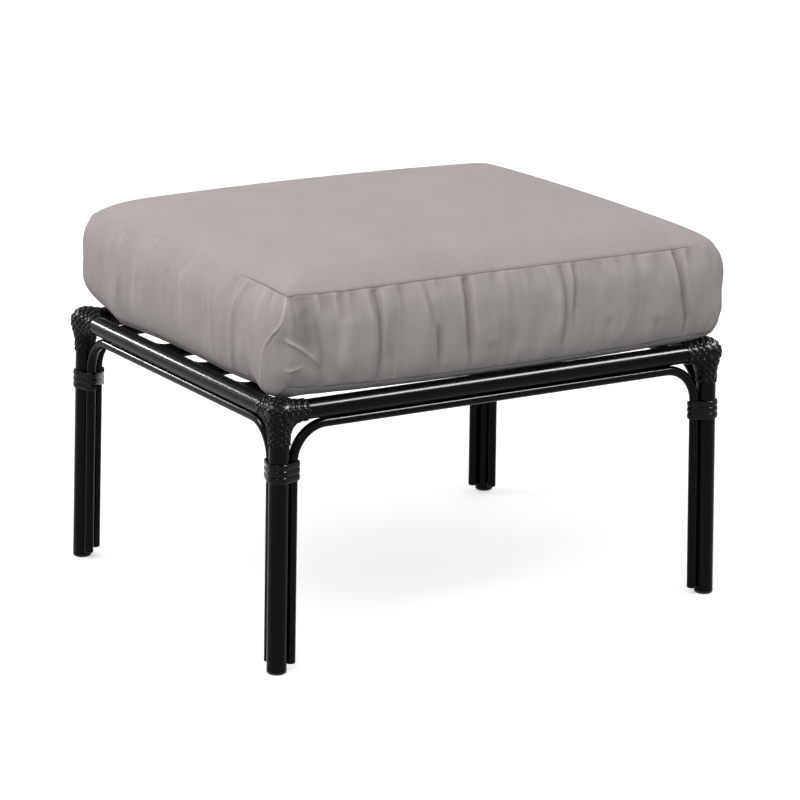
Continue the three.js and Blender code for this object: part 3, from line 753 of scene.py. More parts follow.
def slat_tree():
    tree, given = geometry_tree(
        "filleted_slat", ("Source", "Geometry", None), ("Length", "Float", 0.62),
        ("Shoulder", "Float", 0.309), ("Width", "Float", 0.057), ("Thickness", "Float", 0.004),
        ("Fillet", "Float", 0.012), ("Place", "Vector", None))
    sheet = node(tree, "GeometryNodeMeshGrid", {
        "Size X": given["Length"], "Size Y": 1.0, "Vertices X": 421, "Vertices Y": 7})
    position = node(tree, "GeometryNodeInputPosition")
    split = node(tree, "ShaderNodeSeparateXYZ", {0: position.outputs[0]})
    fillet = given["Fillet"]
    from_rail = reckoned(tree, "SUBTRACT", given["Shoulder"], reckoned(tree, "ABSOLUTE", split.outputs[0]))
    inside = reckoned(tree, "MINIMUM", reckoned(tree, "MAXIMUM", from_rail, 0.0), fillet)
    run = reckoned(tree, "SUBTRACT", fillet, inside)
    drop = reckoned(tree, "SUBTRACT", reckoned(tree, "MULTIPLY", fillet, fillet),
                    reckoned(tree, "MULTIPLY", run, run))
    flare = reckoned(tree, "SUBTRACT", fillet,
                     reckoned(tree, "SQRT", reckoned(tree, "MAXIMUM", drop, 0.0)))
    half = reckoned(tree, "ADD", reckoned(tree, "MULTIPLY", given["Width"], 0.5), flare)
    across = reckoned(tree, "MULTIPLY", reckoned(tree, "MULTIPLY", split.outputs[1], 2.0), half)
    shaped = node(tree, "ShaderNodeCombineXYZ", {"X": split.outputs[0], "Y": across, "Z": 0.0})
    moved = node(tree, "GeometryNodeSetPosition", {
        "Geometry": sheet.outputs[0], "Position": shaped.outputs[0]})
    down = node(tree, "ShaderNodeVectorMath", {0: (0, 0, -1), "Scale": given["Thickness"]},
                operation="SCALE")
    thick = node(tree, "GeometryNodeExtrudeMesh", {
        "Mesh": moved.outputs[0], "Offset": down.outputs[0], "Offset Scale": 1.0, "Individual": False})
    top = node(tree, "GeometryNodeJoinGeometry")
    tree.links.new(thick.outputs[0], top.inputs[0])
    tree.links.new(moved.outputs[0], top.inputs[0])
    closed = node(tree, "GeometryNodeMergeByDistance", {"Geometry": top.outputs[0], "Distance": 0.00001})
    placed = node(tree, "GeometryNodeTransform", {
        "Geometry": closed.outputs[0], "Translation": given["Place"]})
    return ended(tree, placed, given["Finish"], smooth=False)


FILLETED_SLAT = slat_tree()


def worn(obj, width, angle=45):
    edge = obj.modifiers.new("worn edge", "BEVEL")
    edge.width, edge.segments = width, 2
    edge.limit_method, edge.angle_limit = "ANGLE", math.radians(angle)


for number, (place_y, width) in enumerate(SLAT_SIZES, start=1):
    slat = grown(f"seat_slat_{number}_bar", bpy.data.meshes.new("none"), FILLETED_SLAT, {
        "Length": 2 * (HALF_WIDTH - SLAT_END_INSET), "Shoulder": HALF_WIDTH - SLAT_SHOULDER_INSET,
        "Width": width, "Thickness": SLAT_THICKNESS, "Fillet": SLAT_FILLET,
        "Place": (0, place_y, RAIL_HEIGHT + SLAT_TOP), "Finish": BLACK_COAT})
    flat_ends(slat, 50)
    worn(slat, SLAT_WORN_EDGE, 50)
    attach(slat, "frame")
    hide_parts(f"seat_slat_{number}")


# Cushion cover
# A loose box cushion in one heathered outdoor cloth: top, boxing and bottom
# panels sewn edge to edge with no piping, filled until the panels crown. The
# fullness of the boxing is eased into the seams, so it gathers beside them.
CUSHION_AT = (0.0083, -0.0024)
FULL_HALF_WIDTH = 0.3343
FULL_HALF_DEPTH = 0.2855
BOTTOM_SEAM = 0.0266
TOP_SEAM = 0.144
SEAM_INSET_TOP = {"left": 0.0195, "right": 0.0155, "front": 0.0155, "back": 0.0155}
SEAM_INSET_BOTTOM = 0.012
SEAM_CORNER = 0.009
SEAM_TURN_TOP, SEAM_TURN_BOTTOM = 3.2, 3.6
BELLY_CORNER = 0.032
FRONT_LEFT_TIGHTER = 0.72
SHOULDER_RISE = 0.0205
SHOULDER_REACH = 0.046
CROWN_RISE = 0.0195
CROWN_FLATNESS = 2.4
CORNER_SHARPNESS = 5.0
UNDER_DROP = 0.0137
UNDER_REACH = 0.034
UNDER_FLATNESS = 3.2
BOTTOM_SHIFT = (0.0026, 0.0039)
BELLY_MORE = {"left": 0.002, "right": 0.0, "front": 0.0, "back": 0.0022}
CELLS_X, CELLS_Y, CELLS_Z = 100, 86, 18
RIM_SCALE = 0.1

# How the lower edge hangs: sags with their place, reach and depth, an ear of
# cloth that droops at the front left, and the lift of the corners
EDGE_SAG = -0.0055
FRONT_SAG_LESS = 0.0026
FRONT_SAG_AT, FRONT_SAG_REACH, FRONT_MORE_SAG = 0.03, 0.2, 0.003
EAR_AT, EAR_REACH, EAR_DROOP = (-0.335, -0.23), (0.022, 0.031), 0.0197
LEFT_SAGS = ((0.165, 0.06, 0.0055), (0.183, 0.024, 0.0052), (-0.12, 0.07, 0.0036))
CORNER_LIFT = {(-1, -1): 0.009, (1, -1): 0.0025, (-1, 1): 0.019, (1, 1): 0.009}

# How the top's corners stand up, and how the front left one is drawn out
TOP_CORNER_LIFT = {(-1, -1): 0.0, (1, -1): 0.003, (-1, 1): 0.006, (1, 1): 0.0018}
PULL_AT, PULL_REACH, FRONT_LEFT_PULL = (-0.315, -0.27), 0.05, (-0.009, 0.003, 0.0025)


def on_plan(a, b, left, right, front, back, radius):
    """Lays a square of -1 to 1 on a rectangle whose outer rings have round corners."""
    middle_x, middle_y = (left + right) / 2, (front + back) / 2
    half_x, half_y = (right - left) / 2, (back - front) / 2
    level = np.maximum(np.abs(a), np.abs(b))
    r = radius * level ** 3 * np.where((a < 0) & (b < 0), FRONT_LEFT_TIGHTER, 1) + 1e-9
    in_x = (level - np.abs(a)) * half_x
    in_y = (level - np.abs(b)) * half_y
    walk = np.where(in_x <= in_y, r - in_y, r + in_x)
    turn = np.clip(walk / (2 * r), 0, 1) * math.pi / 2
    corner = (in_x < r) & (in_y < r)
    in_x = np.where(corner, r * (1 - np.cos(turn)), in_x)
    in_y = np.where(corner, r * (1 - np.sin(turn)), in_y)
    x = middle_x + np.sign(a) * (level * half_x - in_x)
    y = middle_y + np.sign(b) * (level * half_y - in_y)
    return x, y


def outline(share):
    """The boxing's outline at a share of the way from the bottom seam to the top one."""
    above = max(0.0, (share - 0.5) * 2) ** SEAM_TURN_TOP
    below = max(0.0, (0.5 - share) * 2) ** SEAM_TURN_BOTTOM
    radius = BELLY_CORNER + (SEAM_CORNER - BELLY_CORNER) * abs(share * 2 - 1) ** 2
    inset = {side: top * above + SEAM_INSET_BOTTOM * below - BELLY_MORE[side] * (1 - above)
             for side, top in SEAM_INSET_TOP.items()}
    return (-FULL_HALF_WIDTH + inset["left"], FULL_HALF_WIDTH - inset["right"],
            -FULL_HALF_DEPTH + inset["front"], FULL_HALF_DEPTH - inset["back"], radius)


def bell(distance):
    return np.exp(-distance ** 2)


def settled(x, y, z, share):
    """The bottom lies shifted from the top, hangs along its sides and lifts at its corners."""
    low = np.clip(1 - share, 0, 1)
    to_front = np.clip(-y / FULL_HALF_DEPTH, 0, 1)
    to_left = np.clip(-x / FULL_HALF_WIDTH, 0, 1)
    corner = (np.clip(np.abs(x) / FULL_HALF_WIDTH, 0, 1) * np.clip(np.abs(y) / FULL_HALF_DEPTH, 0, 1)) ** 3
    quarter = [(np.sign(x) == sx) & (np.sign(y) == sy) for sx, sy in CORNER_LIFT]
    lift = np.select(quarter, list(CORNER_LIFT.values()), 0.0)
    top_lift = np.select(quarter, list(TOP_CORNER_LIFT.values()), 0.0)
    sag = EDGE_SAG + FRONT_SAG_LESS * to_front ** 2
    front_sag = FRONT_MORE_SAG * bell((x - FRONT_SAG_AT) / FRONT_SAG_REACH) * to_front ** 4
    left_sag = sum(depth * bell((y - at) / reach) for at, reach, depth in LEFT_SAGS) * to_left ** 6
    ear = EAR_DROOP * bell((x - EAR_AT[0]) / EAR_REACH[0]) * bell(((y - EAR_AT[1]) / EAR_REACH[1]) ** 2)
    z = z + low ** 2 * (sag * (1 - corner) + lift * corner ** 1.6 - front_sag - left_sag - ear)
    z = z + (1 - low) ** 3 * top_lift * corner ** 2
    pull = (bell((x - PULL_AT[0]) / PULL_REACH) * bell((y - PULL_AT[1]) / PULL_REACH)
            * np.clip(share * 2 - 1, 0, 1))
    return np.stack([x + BOTTOM_SHIFT[0] * low + CUSHION_AT[0] + FRONT_LEFT_PULL[0] * pull,
                     y + BOTTOM_SHIFT[1] * low + CUSHION_AT[1] + FRONT_LEFT_PULL[1] * pull,
                     z + RAIL_HEIGHT + FRONT_LEFT_PULL[2] * pull], axis=1)


def rounded(from_side, from_end, reach, power=2.0):
    """Rises from 0 at the seam to 1 at its reach, turning the corners smoothly."""
    nearness = sum(np.maximum(d, 1e-6) ** -CORNER_SHARPNESS for d in (from_side, from_end))
    return 1 - (1 - np.clip(nearness ** (-1 / CORNER_SHARPNESS) / reach, 0, 1)) ** power


ring = ([(i, 0) for i in range(CELLS_X)] + [(CELLS_X, j) for j in range(CELLS_Y)]
        + [(i, CELLS_Y) for i in range(CELLS_X, 0, -1)] + [(0, j) for j in range(CELLS_Y, 0, -1)])
grid_i, grid_j = np.meshgrid(np.arange(CELLS_X + 1), np.arange(CELLS_Y + 1), indexing="ij")
grid_a, grid_b = grid_i.ravel() / CELLS_X * 2 - 1, grid_j.ravel() / CELLS_Y * 2 - 1
ring_a = np.array([i for i, j in ring]) / CELLS_X * 2 - 1
ring_b = np.array([j for i, j in ring]) / CELLS_Y * 2 - 1


def panel_plan(level):
    """A panel's points in plan, and how far each is from its side and from its end seams."""
    left, right, front, back, radius = outline(level)
    x, y = on_plan(grid_a, grid_b, left, right, front, back, radius)
    return x, y, np.minimum(x - left, right - x), np.minimum(y - front, back - y)


# A point's share is 0 on the bottom seam and 1 on the top one; it runs on past
# them over the panels
on_rim = np.maximum(np.abs(grid_a), np.abs(grid_b)) > 0.9999
x, y, from_side, from_end = panel_plan(1.0)
dome_x, dome_y = (1 - np.abs(place / half) ** CROWN_FLATNESS
                  for place, half in ((x, FULL_HALF_WIDTH), (y, FULL_HALF_DEPTH)))
z = (TOP_SEAM + SHOULDER_RISE * rounded(from_side, from_end, SHOULDER_REACH)
     + CROWN_RISE * np.clip(dome_x * dome_y, 0, 1))
top_points = settled(x, y, z, np.ones_like(x))
top_share = 1 + np.where(on_rim, 0, np.minimum(from_side, from_end)) / RIM_SCALE

x, y, from_side, from_end = panel_plan(0.0)
z = BOTTOM_SEAM - UNDER_DROP * rounded(from_side, from_end, UNDER_REACH, UNDER_FLATNESS)
under_points = settled(x, y, z, np.zeros_like(x))
under_share = -np.where(on_rim, 0, np.minimum(from_side, from_end)) / RIM_SCALE

wall_points, wall_share = [], []
for row in range(1, CELLS_Z):
    share = row / CELLS_Z
    x, y = on_plan(ring_a, ring_b, *outline(share))
    z = np.full_like(x, BOTTOM_SEAM + (TOP_SEAM - BOTTOM_SEAM) * share)
    wall_points.append(settled(x, y, z, np.full_like(x, share)))
    wall_share.append(np.full(len(x), share))

target = np.vstack([top_points, under_points] + wall_points)
share = np.concatenate([top_share, under_share] + wall_share)
per_grid = (CELLS_X + 1) * (CELLS_Y + 1)
around = len(ring)


def grid_id(i, j):
    return i * (CELLS_Y + 1) + j


def wall_id(row, k):
    i, j = ring[k % around]
    if row == 0:
        return per_grid + grid_id(i, j)
    if row == CELLS_Z:
        return grid_id(i, j)
    return 2 * per_grid + (row - 1) * around + k % around


faces = []
for i in range(CELLS_X):
    for j in range(CELLS_Y):
        quad = (grid_id(i, j), grid_id(i + 1, j), grid_id(i + 1, j + 1), grid_id(i, j + 1))
        faces.append(quad)
        faces.append(tuple(per_grid + q for q in reversed(quad)))
for row in range(CELLS_Z):
    for k in range(around):
        faces.append((wall_id(row, k), wall_id(row, k + 1), wall_id(row + 1, k + 1), wall_id(row + 1, k)))

cover = mesh_object("cushion_cover_cloth", target, faces)


PUCKERS_IN_BOXING = 0.34
PUCKERS_IN_PANELS = 0.07
BILLOW_FRAMES = 20
BILLOW_LIMIT = 0.022
PANEL_EASE = 0.62


def billow(obj, start, share):
    """Fills the cover: pressure swells the panels while the seams hold their lines,
    and the cloth eased into the boxing puckers beside them."""
    ease = obj.vertex_groups.new(name="ease")
    seam = obj.vertex_groups.new(name="seam")
    is_seam = (np.abs(share) < 1e-6) | (np.abs(share - 1) < 1e-6)
    is_wall = (share > 0) & (share < 1)
    on_seam = [int(i) for i in np.nonzero(is_seam)[0]]
    seam.add(on_seam, 1.0, "REPLACE")
    ease.add(on_seam, 1.0, "REPLACE")
    ease.add([int(i) for i in np.nonzero(~is_seam & ~is_wall)[0]], PANEL_EASE, "REPLACE")
    cloth = obj.modifiers.new("cloth", "CLOTH")
    given = cloth.settings
    given.quality = 6
    given.mass = 0.25
    given.tension_stiffness = given.compression_stiffness = 18
    given.shear_stiffness = 8
    given.bending_stiffness = 0.35
    given.effector_weights.gravity = 0
    given.use_pressure = True
    given.uniform_pressure_force = 4
    given.vertex_group_mass = "seam"
    given.pin_stiffness = 1
    given.vertex_group_shrink = "ease"
    given.shrink_min, given.shrink_max = -0.045, 0.0
    cloth.point_cache.frame_start, cloth.point_cache.frame_end = 1, BILLOW_FRAMES
    scene = bpy.context.scene
    for number in range(1, BILLOW_FRAMES + 1):
        scene.frame_set(number)
    swollen = obj.evaluated_get(bpy.context.evaluated_depsgraph_get())
    move = read(swollen.data.vertices, "co", 3) - start
    obj.modifiers.remove(cloth)
    scene.frame_set(1)
    obj.vertex_groups.clear()
    length = np.linalg.norm(move, axis=1, keepdims=True)
    return move * np.minimum(1, BILLOW_LIMIT / np.maximum(length, 1e-9))


def noted(mesh, label, values):
    layer = mesh.attributes.new(label, "FLOAT", "POINT")
    layer.data.foreach_set("value", values.astype(np.float32))


edge_pairs = read(cover.data.edges, "vertices", 2, np.int64)


def evened(values, rounds):
    """Values averaged over neighbours: what is left is the slow part of a movement."""
    count = np.zeros(len(values))
    np.add.at(count, edge_pairs[:, 0], 1)
    np.add.at(count, edge_pairs[:, 1], 1)
    for _ in range(rounds):
        total = np.zeros_like(values)
        np.add.at(total, edge_pairs[:, 0], values[edge_pairs[:, 1]])
        np.add.at(total, edge_pairs[:, 1], values[edge_pairs[:, 0]])
        values = 0.5 * values + 0.5 * total / count[:, None]
    return values


move = billow(cover, target, share)
is_wall = ((share > 0) & (share < 1))[:, None]
keep = evened(np.where(is_wall, PUCKERS_IN_BOXING, PUCKERS_IN_PANELS), 2)
puckered = target + keep * (move - evened(move, 70))
cover.data.vertices.foreach_set("co", puckered.ravel())
cover.data.update()

noted(cover.data, "height_share", share)
finer = cover.modifiers.new("finer", "SUBSURF")
finer.levels = finer.render_levels = 1
fine = made_real(cover)
cover.modifiers.remove(finer)
coarse, cover.data = cover.data, fine
bpy.data.meshes.remove(coarse)
fine.name = "cushion_cover_cloth"

# The boxing and the rims of the panels carry the small folds, so they are finer
closer = bmesh.new()
closer.from_mesh(fine)
layer = closer.verts.layers.float["height_share"]
close_edges = [edge for edge in closer.edges if all(-0.06 < v[layer] < 1.06 for v in edge.verts)]
bmesh.ops.subdivide_edges(closer, edges=close_edges, cuts=1, use_grid_fill=True)
closer.to_mesh(fine)
closer.free()
edge_pairs = read(fine.edges, "vertices", 2, np.int64)

points = read(fine.vertices, "co", 3)
share = read(fine.attributes["height_share"].data, "value", kind=np.float32).astype(float)
points = np.where((np.abs(share * 2 - 1) < 1.2)[:, None], evened(points, 1), points)
fine.vertices.foreach_set("co", points.ravel())
fine.update()
normals = read(fine.vertices, "normal", 3)

# The folds of each face, the front and left ones as photographed: line of (place
# along the face, height above the rails' middle), width and rise, in millimetres
FOLDS = {
    "front": (
        (((-192, 147), (-190, 116), (-188, 84), (-187, 60), (-187, 38), (-188, 26)), 3.2, -4.4),
        (((-209, 147), (-208, 126), (-204, 106), (-200, 86)), 4.0, 2.4),
        (((-183, 140), (-184, 93), (-184, 47), (-185, 36)), 2.6, 1.5),
        (((-60, 147), (-61, 109), (-58, 74), (-52, 34), (-51, 26)), 2.9, -5.0),
        (((-51, 146), (-53, 110), (-50, 80), (-45, 45)), 3.5, 1.8),
        (((-73, 147), (-72, 110), (-68, 70)), 3.0, 1.2),
        (((-123, 147), (-114, 98), (-107, 80)), 4.0, -1.7),
        (((-110, 100), (-103, 75), (-100, 56), (-98, 28)), 2.8, -3.6),
        (((-131, 146), (-125, 110), (-118, 90)), 4.5, 1.6),
        (((-280, 132), (-277, 105), (-272, 80), (-269, 59), (-268, 36)), 3.4, -2.2),
        (((-275, 147), (-275, 129), (-273, 108)), 3.4, 2.0),
        (((-324, 99), (-317, 91), (-309, 86), (-298, 79), (-290, 72), (-280, 64), (-274, 54)), 1.9, 2.6),
        (((-296, 68), (-289, 66), (-275, 53), (-267, 36), (-265, 27)), 2.8, -2.1),
        (((-324, 57), (-316, 55), (-307, 58), (-293, 62)), 1.5, 1.5),
        (((-318, 50), (-306, 52)), 2.0, -1.1),
        (((-172, 84), (-169, 60), (-167, 30)), 3.6, -1.8),
        (((-222, 147), (-223, 126), (-222, 106)), 4.0, -2.0),
        (((-231, 147), (-232, 128)), 3.0, 1.3),
        (((-260, 147), (-261, 128), (-262, 110)), 4.4, -2.1),
        (((-251, 143), (-251, 120), (-250, 98)), 3.4, 1.5),
        (((-240, 120), (-244, 70), (-241, 34)), 9.0, 1.0),
        (((104, 147), (101, 120), (99, 87), (98, 60)), 3.0, -3.0),
        (((93, 147), (92, 110), (91, 70)), 3.0, 1.6),
        (((81, 142), (85, 105), (86, 84), (85, 60), (84, 34), (84, 26)), 3.2, -3.2),
        (((71, 120), (73, 80), (73, 44)), 4.5, 1.2),
        (((258, 147), (265, 109), (273, 72), (278, 52), (278, 26)), 3.0, -4.6),
        (((249, 147), (255, 110), (262, 76)), 4.5, 1.6),
        (((271, 147), (271, 115), (276, 82), (284, 50)), 3.8, 2.0),
        (((283, 146), (284, 116)), 3.5, -1.8),
        (((153, 74), (153, 40)), 3.4, -1.4),
        (((229, 66), (231, 32)), 4.0, -1.6),
        (((12, 78), (8, 30)), 6.0, -1.3),
        (((-287, 142), (-287, 110), (-284, 80), (-281, 56)), 10.0, -3.0),
        (((-238, 147), (-240, 120), (-241, 104)), 3.6, -1.5),
        (((-155, 147), (-151, 116)), 5.0, -1.7),
        (((-146, 147), (-143, 118)), 4.0, 1.2),
        (((-98, 147), (-96, 126)), 4.0, -1.4),
        (((-22, 147), (-19, 116)), 4.4, -1.7),
        (((-11, 147), (-10, 122)), 4.0, 1.1),
        (((140, 147), (143, 112)), 5.0, -1.7),
        (((232, 147), (236, 110)), 5.0, -1.6),
        (((-24, 64), (-26, 28)), 5.0, -1.5),
        (((36, 147), (38, 114)), 5.0, -1.7),
        (((60, 147), (61, 124)), 4.0, 1.3),
        (((172, 147), (174, 122)), 4.4, -1.4),
        (((198, 147), (202, 112)), 5.0, -1.4),
        (((206, 147), (212, 104)), 6.0, 1.2)),
    "left": (
        (((-240, 146), (-254, 121), (-244, 101)), 5.0, 2.2),
        (((-226, 145), (-230, 124), (-221, 102)), 4.0, -2.4),
        (((-212, 140), (-214, 112), (-204, 78)), 7.0, 1.5),
        (((-189, 144), (-195, 122)), 3.0, 1.6),
        (((-183, 141), (-187, 110)), 4.0, -1.4),
        (((-163, 144), (-159, 132), (-154, 119), (-149, 98), (-145, 74), (-145, 54), (-138, 28)),
     2.6, 2.8),
        (((-168, 136), (-162, 115), (-156, 95), (-152, 72), (-152, 52), (-145, 28)), 3.2, -2.4),
        (((-133, 138), (-126, 100)), 4.5, -1.6),
        (((-86, 128), (-91, 101), (-94, 66), (-91, 28)), 2.6, 2.0),
        (((-99, 100), (-101, 66), (-98, 28)), 3.2, -2.0),
        (((-62, 120), (-66, 80), (-64, 34)), 4.0, -1.3),
        (((-10, 130), (-16, 80), (-14, 34)), 5.0, 1.1),
        (((28, 126), (34, 104)), 4.0, -1.8),
        (((62, 96), (66, 60), (70, 30)), 4.5, -1.4),
        (((110, 120), (116, 70), (122, 32)), 4.5, 1.3),
        (((160, 96), (161, 71), (170, 36)), 3.0, 2.0),
        (((153, 96), (154, 71), (162, 36)), 3.4, -2.0),
        (((156, 140), (149, 100)), 8.0, -1.5),
        (((168, 136), (162, 104)), 4.0, 1.4),
        (((206, 120), (214, 60)), 6.0, -1.3)),
    "back": (
        (((-260, 147), (-256, 100), (-262, 30)), 3.6, -3.0),
        (((-214, 146), (-210, 112)), 5.0, 1.8),
        (((270, 147), (262, 96), (266, 26)), 3.4, -3.4),
        (((281, 140), (274, 96)), 5.0, 1.8),
        (((-120, 60), (-118, 26)), 4.5, -2.2),
        (((64, 62), (60, 26)), 4.5, -2.2),
        (((150, 147), (154, 118)), 4.5, -2.0)),
    "right": (
        (((-196, 147), (-192, 96), (-198, 28)), 3.0, -3.4),
        (((-184, 144), (-180, 100), (-184, 50)), 4.2, 1.8),
        (((-92, 147), (-86, 100), (-90, 62)), 3.2, -2.8),
        (((20, 84), (18, 26)), 3.4, -3.0),
        (((96, 147), (92, 112)), 5.0, -2.2),
        (((104, 146), (102, 106)), 5.0, 1.6),
        (((190, 146), (196, 96), (190, 26)), 3.0, -3.6),
        (((203, 140), (206, 90)), 5.0, 1.8)),
}
FOLD_DEPTH = {"front": 1.35, "back": 1.0, "left": 0.75, "right": 1.1}
# A line that starts or ends beyond these heights runs into the seam there
TOP_OPEN, BOTTOM_OPEN = 135, 33
# The lengths over which the folds rise where they start and fade where they end,
# and the most that these may take of a fold
VALLEY_START, RIDGE_START, FOLD_END = 30, 14, 34
VALLEY_START_MOST, RIDGE_START_MOST, FOLD_END_MOST = 0.45, 0.3, 0.75
# A fold fades where its face turns away, and a valley towards the bottom seam
FACE_FROM, FACING_GAIN = 0.2, 1.6
SHALLOWEST, DEEPER, DEEPER_FROM, DEEPER_OVER = 0.35, 0.65, 26, 30
# The flanks, in widths of the fold, where the painted shade beside a valley and the painted highlight on a
# ridge lie, and how deep a valley has to be for its full painted shade
VALLEY_FALL, VALLEY_STEP, VALLEY_FAR, FARTHEST = 2.3, 0.95, 4.5, 15
STEP_SHARE, FAR_SHARE = 0.55, 0.45
RIDGE_RISE, RIDGE_FALL = 0.95, 1.5
DARK_AT, DARK_WIDTH, LIGHT_AT, LIGHT_WIDTH = 0.8, 1.3, 0.2, 0.9
NARROWEST_VALLEY, DARKEST_VALLEY = 2.8, 5.5
SHARP_RIDGE, SHARP_CREST, SOFT_CREST = 2, 2.2, 0.3
HELD_BY_SEAM, SEAM_HOLD_REACH = 0.88, 0.035


def along_line(places, line):
    """Signed distance from a broken line, how far along it, and its length, for places in a plane."""
    best = np.full(len(places), 1e9)
    signed, walked = np.zeros(len(places)), np.zeros(len(places))
    line = np.array(line, float)
    run = 0.0
    for start, end in zip(line[:-1], line[1:]):
        way = end - start
        length = np.hypot(*way)
        part = np.clip(((places - start) @ way) / length ** 2, 0, 1)
        away = places - (start + part[:, None] * way)
        distance = np.hypot(away[:, 0], away[:, 1])
        nearer = distance < best
        best = np.where(nearer, distance, best)
        side = np.sign(away[:, 0] * way[1] - away[:, 1] * way[0])
        signed = np.where(nearer, side * distance, signed)
        walked = np.where(nearer, run + part * length, walked)
        run += length
    return signed, walked, run


def eased(share_done):
    done = np.clip(share_done, 0, 1)
    return done * done * (3 - 2 * done)


height = (points[:, 2] - RAIL_HEIGHT) * 1000
rise = np.zeros(len(points))
painted_shading = np.zeros(len(points))
is_rim = (share < 1.15) & (share > -0.15)
is_wall = (share > 0) & (share < 1)
from_edge = (0.5 - np.abs(share - 0.5)) / SEAM_HOLD_REACH
loose = 1 - HELD_BY_SEAM + HELD_BY_SEAM * np.where(is_wall, eased(from_edge), 0)
folds = [(face, *fold) for face, group in FOLDS.items() for fold in group]
# Each fold moves the cloth along its normal, and also paints shade beside a valley and a highlight along a
# ridge into the cloth's colour
for face, line, width, lift in folds:
    along, side = SIDES[face]
    across = 1 - along
    lift *= FOLD_DEPTH[face]
    facing = np.clip(side * normals[:, across] * FACING_GAIN, 0, 1)
    near = np.nonzero(is_rim & (side * points[:, across] > FACE_FROM) & (facing > 0))[0]
    off, walked, run = along_line(np.stack([points[near, along] * 1000, height[near]], axis=1), line)
    start_run = min(RIDGE_START, RIDGE_START_MOST * run)
    if lift < 0:
        start_run = min(VALLEY_START, VALLEY_START_MOST * run)
    starts = 1 if line[0][1] > TOP_OPEN else eased(walked / start_run)
    end_run = min(FOLD_END, FOLD_END_MOST * run)
    stops = eased((run - walked) / end_run) if line[-1][1] > BOTTOM_OPEN else 1
    if lift < 0:
        # a valley falls slowly from the left and rises in a short step, then slowly
        width = max(width, NARROWEST_VALLEY)
        gentle, step = bell(off / (VALLEY_FALL * width)), bell(off / (VALLEY_STEP * width))
        far = bell(off / min(VALLEY_FAR * width, FARTHEST))
        fold = np.where(off > 0, gentle, STEP_SHARE * step + FAR_SHARE * far)
        stops = stops * (SHALLOWEST + DEEPER * eased((height[near] - DEEPER_FROM) / DEEPER_OVER))
        # painted shade beside the valley, fuller the deeper the valley
        dark = min(1, -lift / DARKEST_VALLEY)
        shade = -dark * bell((off - DARK_AT * width) / (DARK_WIDTH * width))
    else:
        fold = bell(off / np.where(off > 0, RIDGE_RISE * width, RIDGE_FALL * width))
        # painted highlight along the ridge, stronger on a narrow one
        crest = SHARP_CREST if width < SHARP_RIDGE else SOFT_CREST
        shade = crest * bell((off - LIGHT_AT * width) / (LIGHT_WIDTH * width))
    ends = starts * stops * facing[near] * loose[near]
    rise[near] += lift * fold * ends
    painted_shading[near] += shade * ends

# Fine gathers beside both seams and faintly down the boxing, all the way round,
# deepest under the front's top seam and shallow on the left side
GATHER_WAVES = (9, 13, 19, 28, 41)
GATHER_DEPTH = 0.44
GATHER_TOP_FRONT, GATHER_TOP, GATHER_BOXING = 2.3, 1.5, 0.24
GATHER_ON_TOP, GATHER_UNDER = 0.9, 0.5
FROM_TOP_SEAM, FROM_BOTTOM_SEAM, ONTO_PANEL = 0.17, 0.2, 0.1
CALM_LEFT, CALM_ELSEWHERE = 0.65, 1.1
walk = np.where(np.abs(normals[:, 0]) > np.abs(normals[:, 1]), points[:, 1], points[:, 0]) * 1000
dice = np.random.default_rng(11)
gather = np.zeros(len(points))
for wave in GATHER_WAVES:
    for _ in range(3):
        length = wave * dice.uniform(0.85, 1.15)
        phase, other = dice.uniform(0, 6.28, 2)
        gather += wave / 40 * np.sin(2 * math.pi * walk / length + phase) * (
            0.6 + 0.4 * np.sin(walk / 57 + other))
below_top = np.where(normals[:, 1] < -0.5, GATHER_TOP_FRONT, GATHER_TOP)
below_top = below_top * np.exp(-(1 - share) / FROM_TOP_SEAM)
below_top *= eased((1 - share) / 0.03 + 0.3)
near_seam = np.where(is_wall, GATHER_BOXING + np.maximum(below_top, np.exp(-share / FROM_BOTTOM_SEAM)), 0)
near_seam = np.where(share >= 1, np.exp(-(share - 1) / ONTO_PANEL) * GATHER_ON_TOP, near_seam)
near_seam = np.where(share <= 0, np.exp(share / ONTO_PANEL) * GATHER_UNDER, near_seam)
calm = np.where(normals[:, 0] < -0.7, CALM_LEFT, CALM_ELSEWHERE)
rise += GATHER_DEPTH * calm * gather * near_seam

# Broad upright swells between the folds
SWELL_WAVES = (37, 52, 71, 94)
SWELL_DEPTH = 1.25
swell = np.zeros(len(points))
for wave in SWELL_WAVES:
    phase, lean = dice.uniform(0, 6.28), dice.uniform(-0.25, 0.25)
    swell += np.sin(2 * math.pi * (walk + lean * height) / wave + phase) * wave / SWELL_WAVES[-1]
rise += np.where(is_wall, SWELL_DEPTH * calm * swell * np.sin(math.pi * np.clip(share, 0, 1)) ** 0.5, 0)

# The edge seams are drawn in by their thread, the top one less behind the front
# left corner and at the front right one
BOXING_RUN, PANEL_RUN = 117, 100
TOP_GROOVE, BOTTOM_GROOVE, GROOVE_WIDTH = 1.9, 1.0, 1.1
from_seam = np.minimum(np.abs(share - 1) * np.where(share > 1, PANEL_RUN, BOXING_RUN),
                       np.abs(share) * np.where(share < 0, PANEL_RUN, BOXING_RUN))
fading = eased((points[:, 1] + 0.26) / 0.16) * eased((-points[:, 0] - 0.28) / 0.02) * (share > 0.5)
fading += 0.85 * eased((points[:, 0] - 0.268) / 0.022) * eased((-points[:, 1] - 0.2) / 0.05) * (share > 0.5)
groove = np.where(share > 0.5, TOP_GROOVE, BOTTOM_GROOVE) * (1 - 0.8 * fading)
rise -= groove * bell(from_seam / GROOVE_WIDTH)

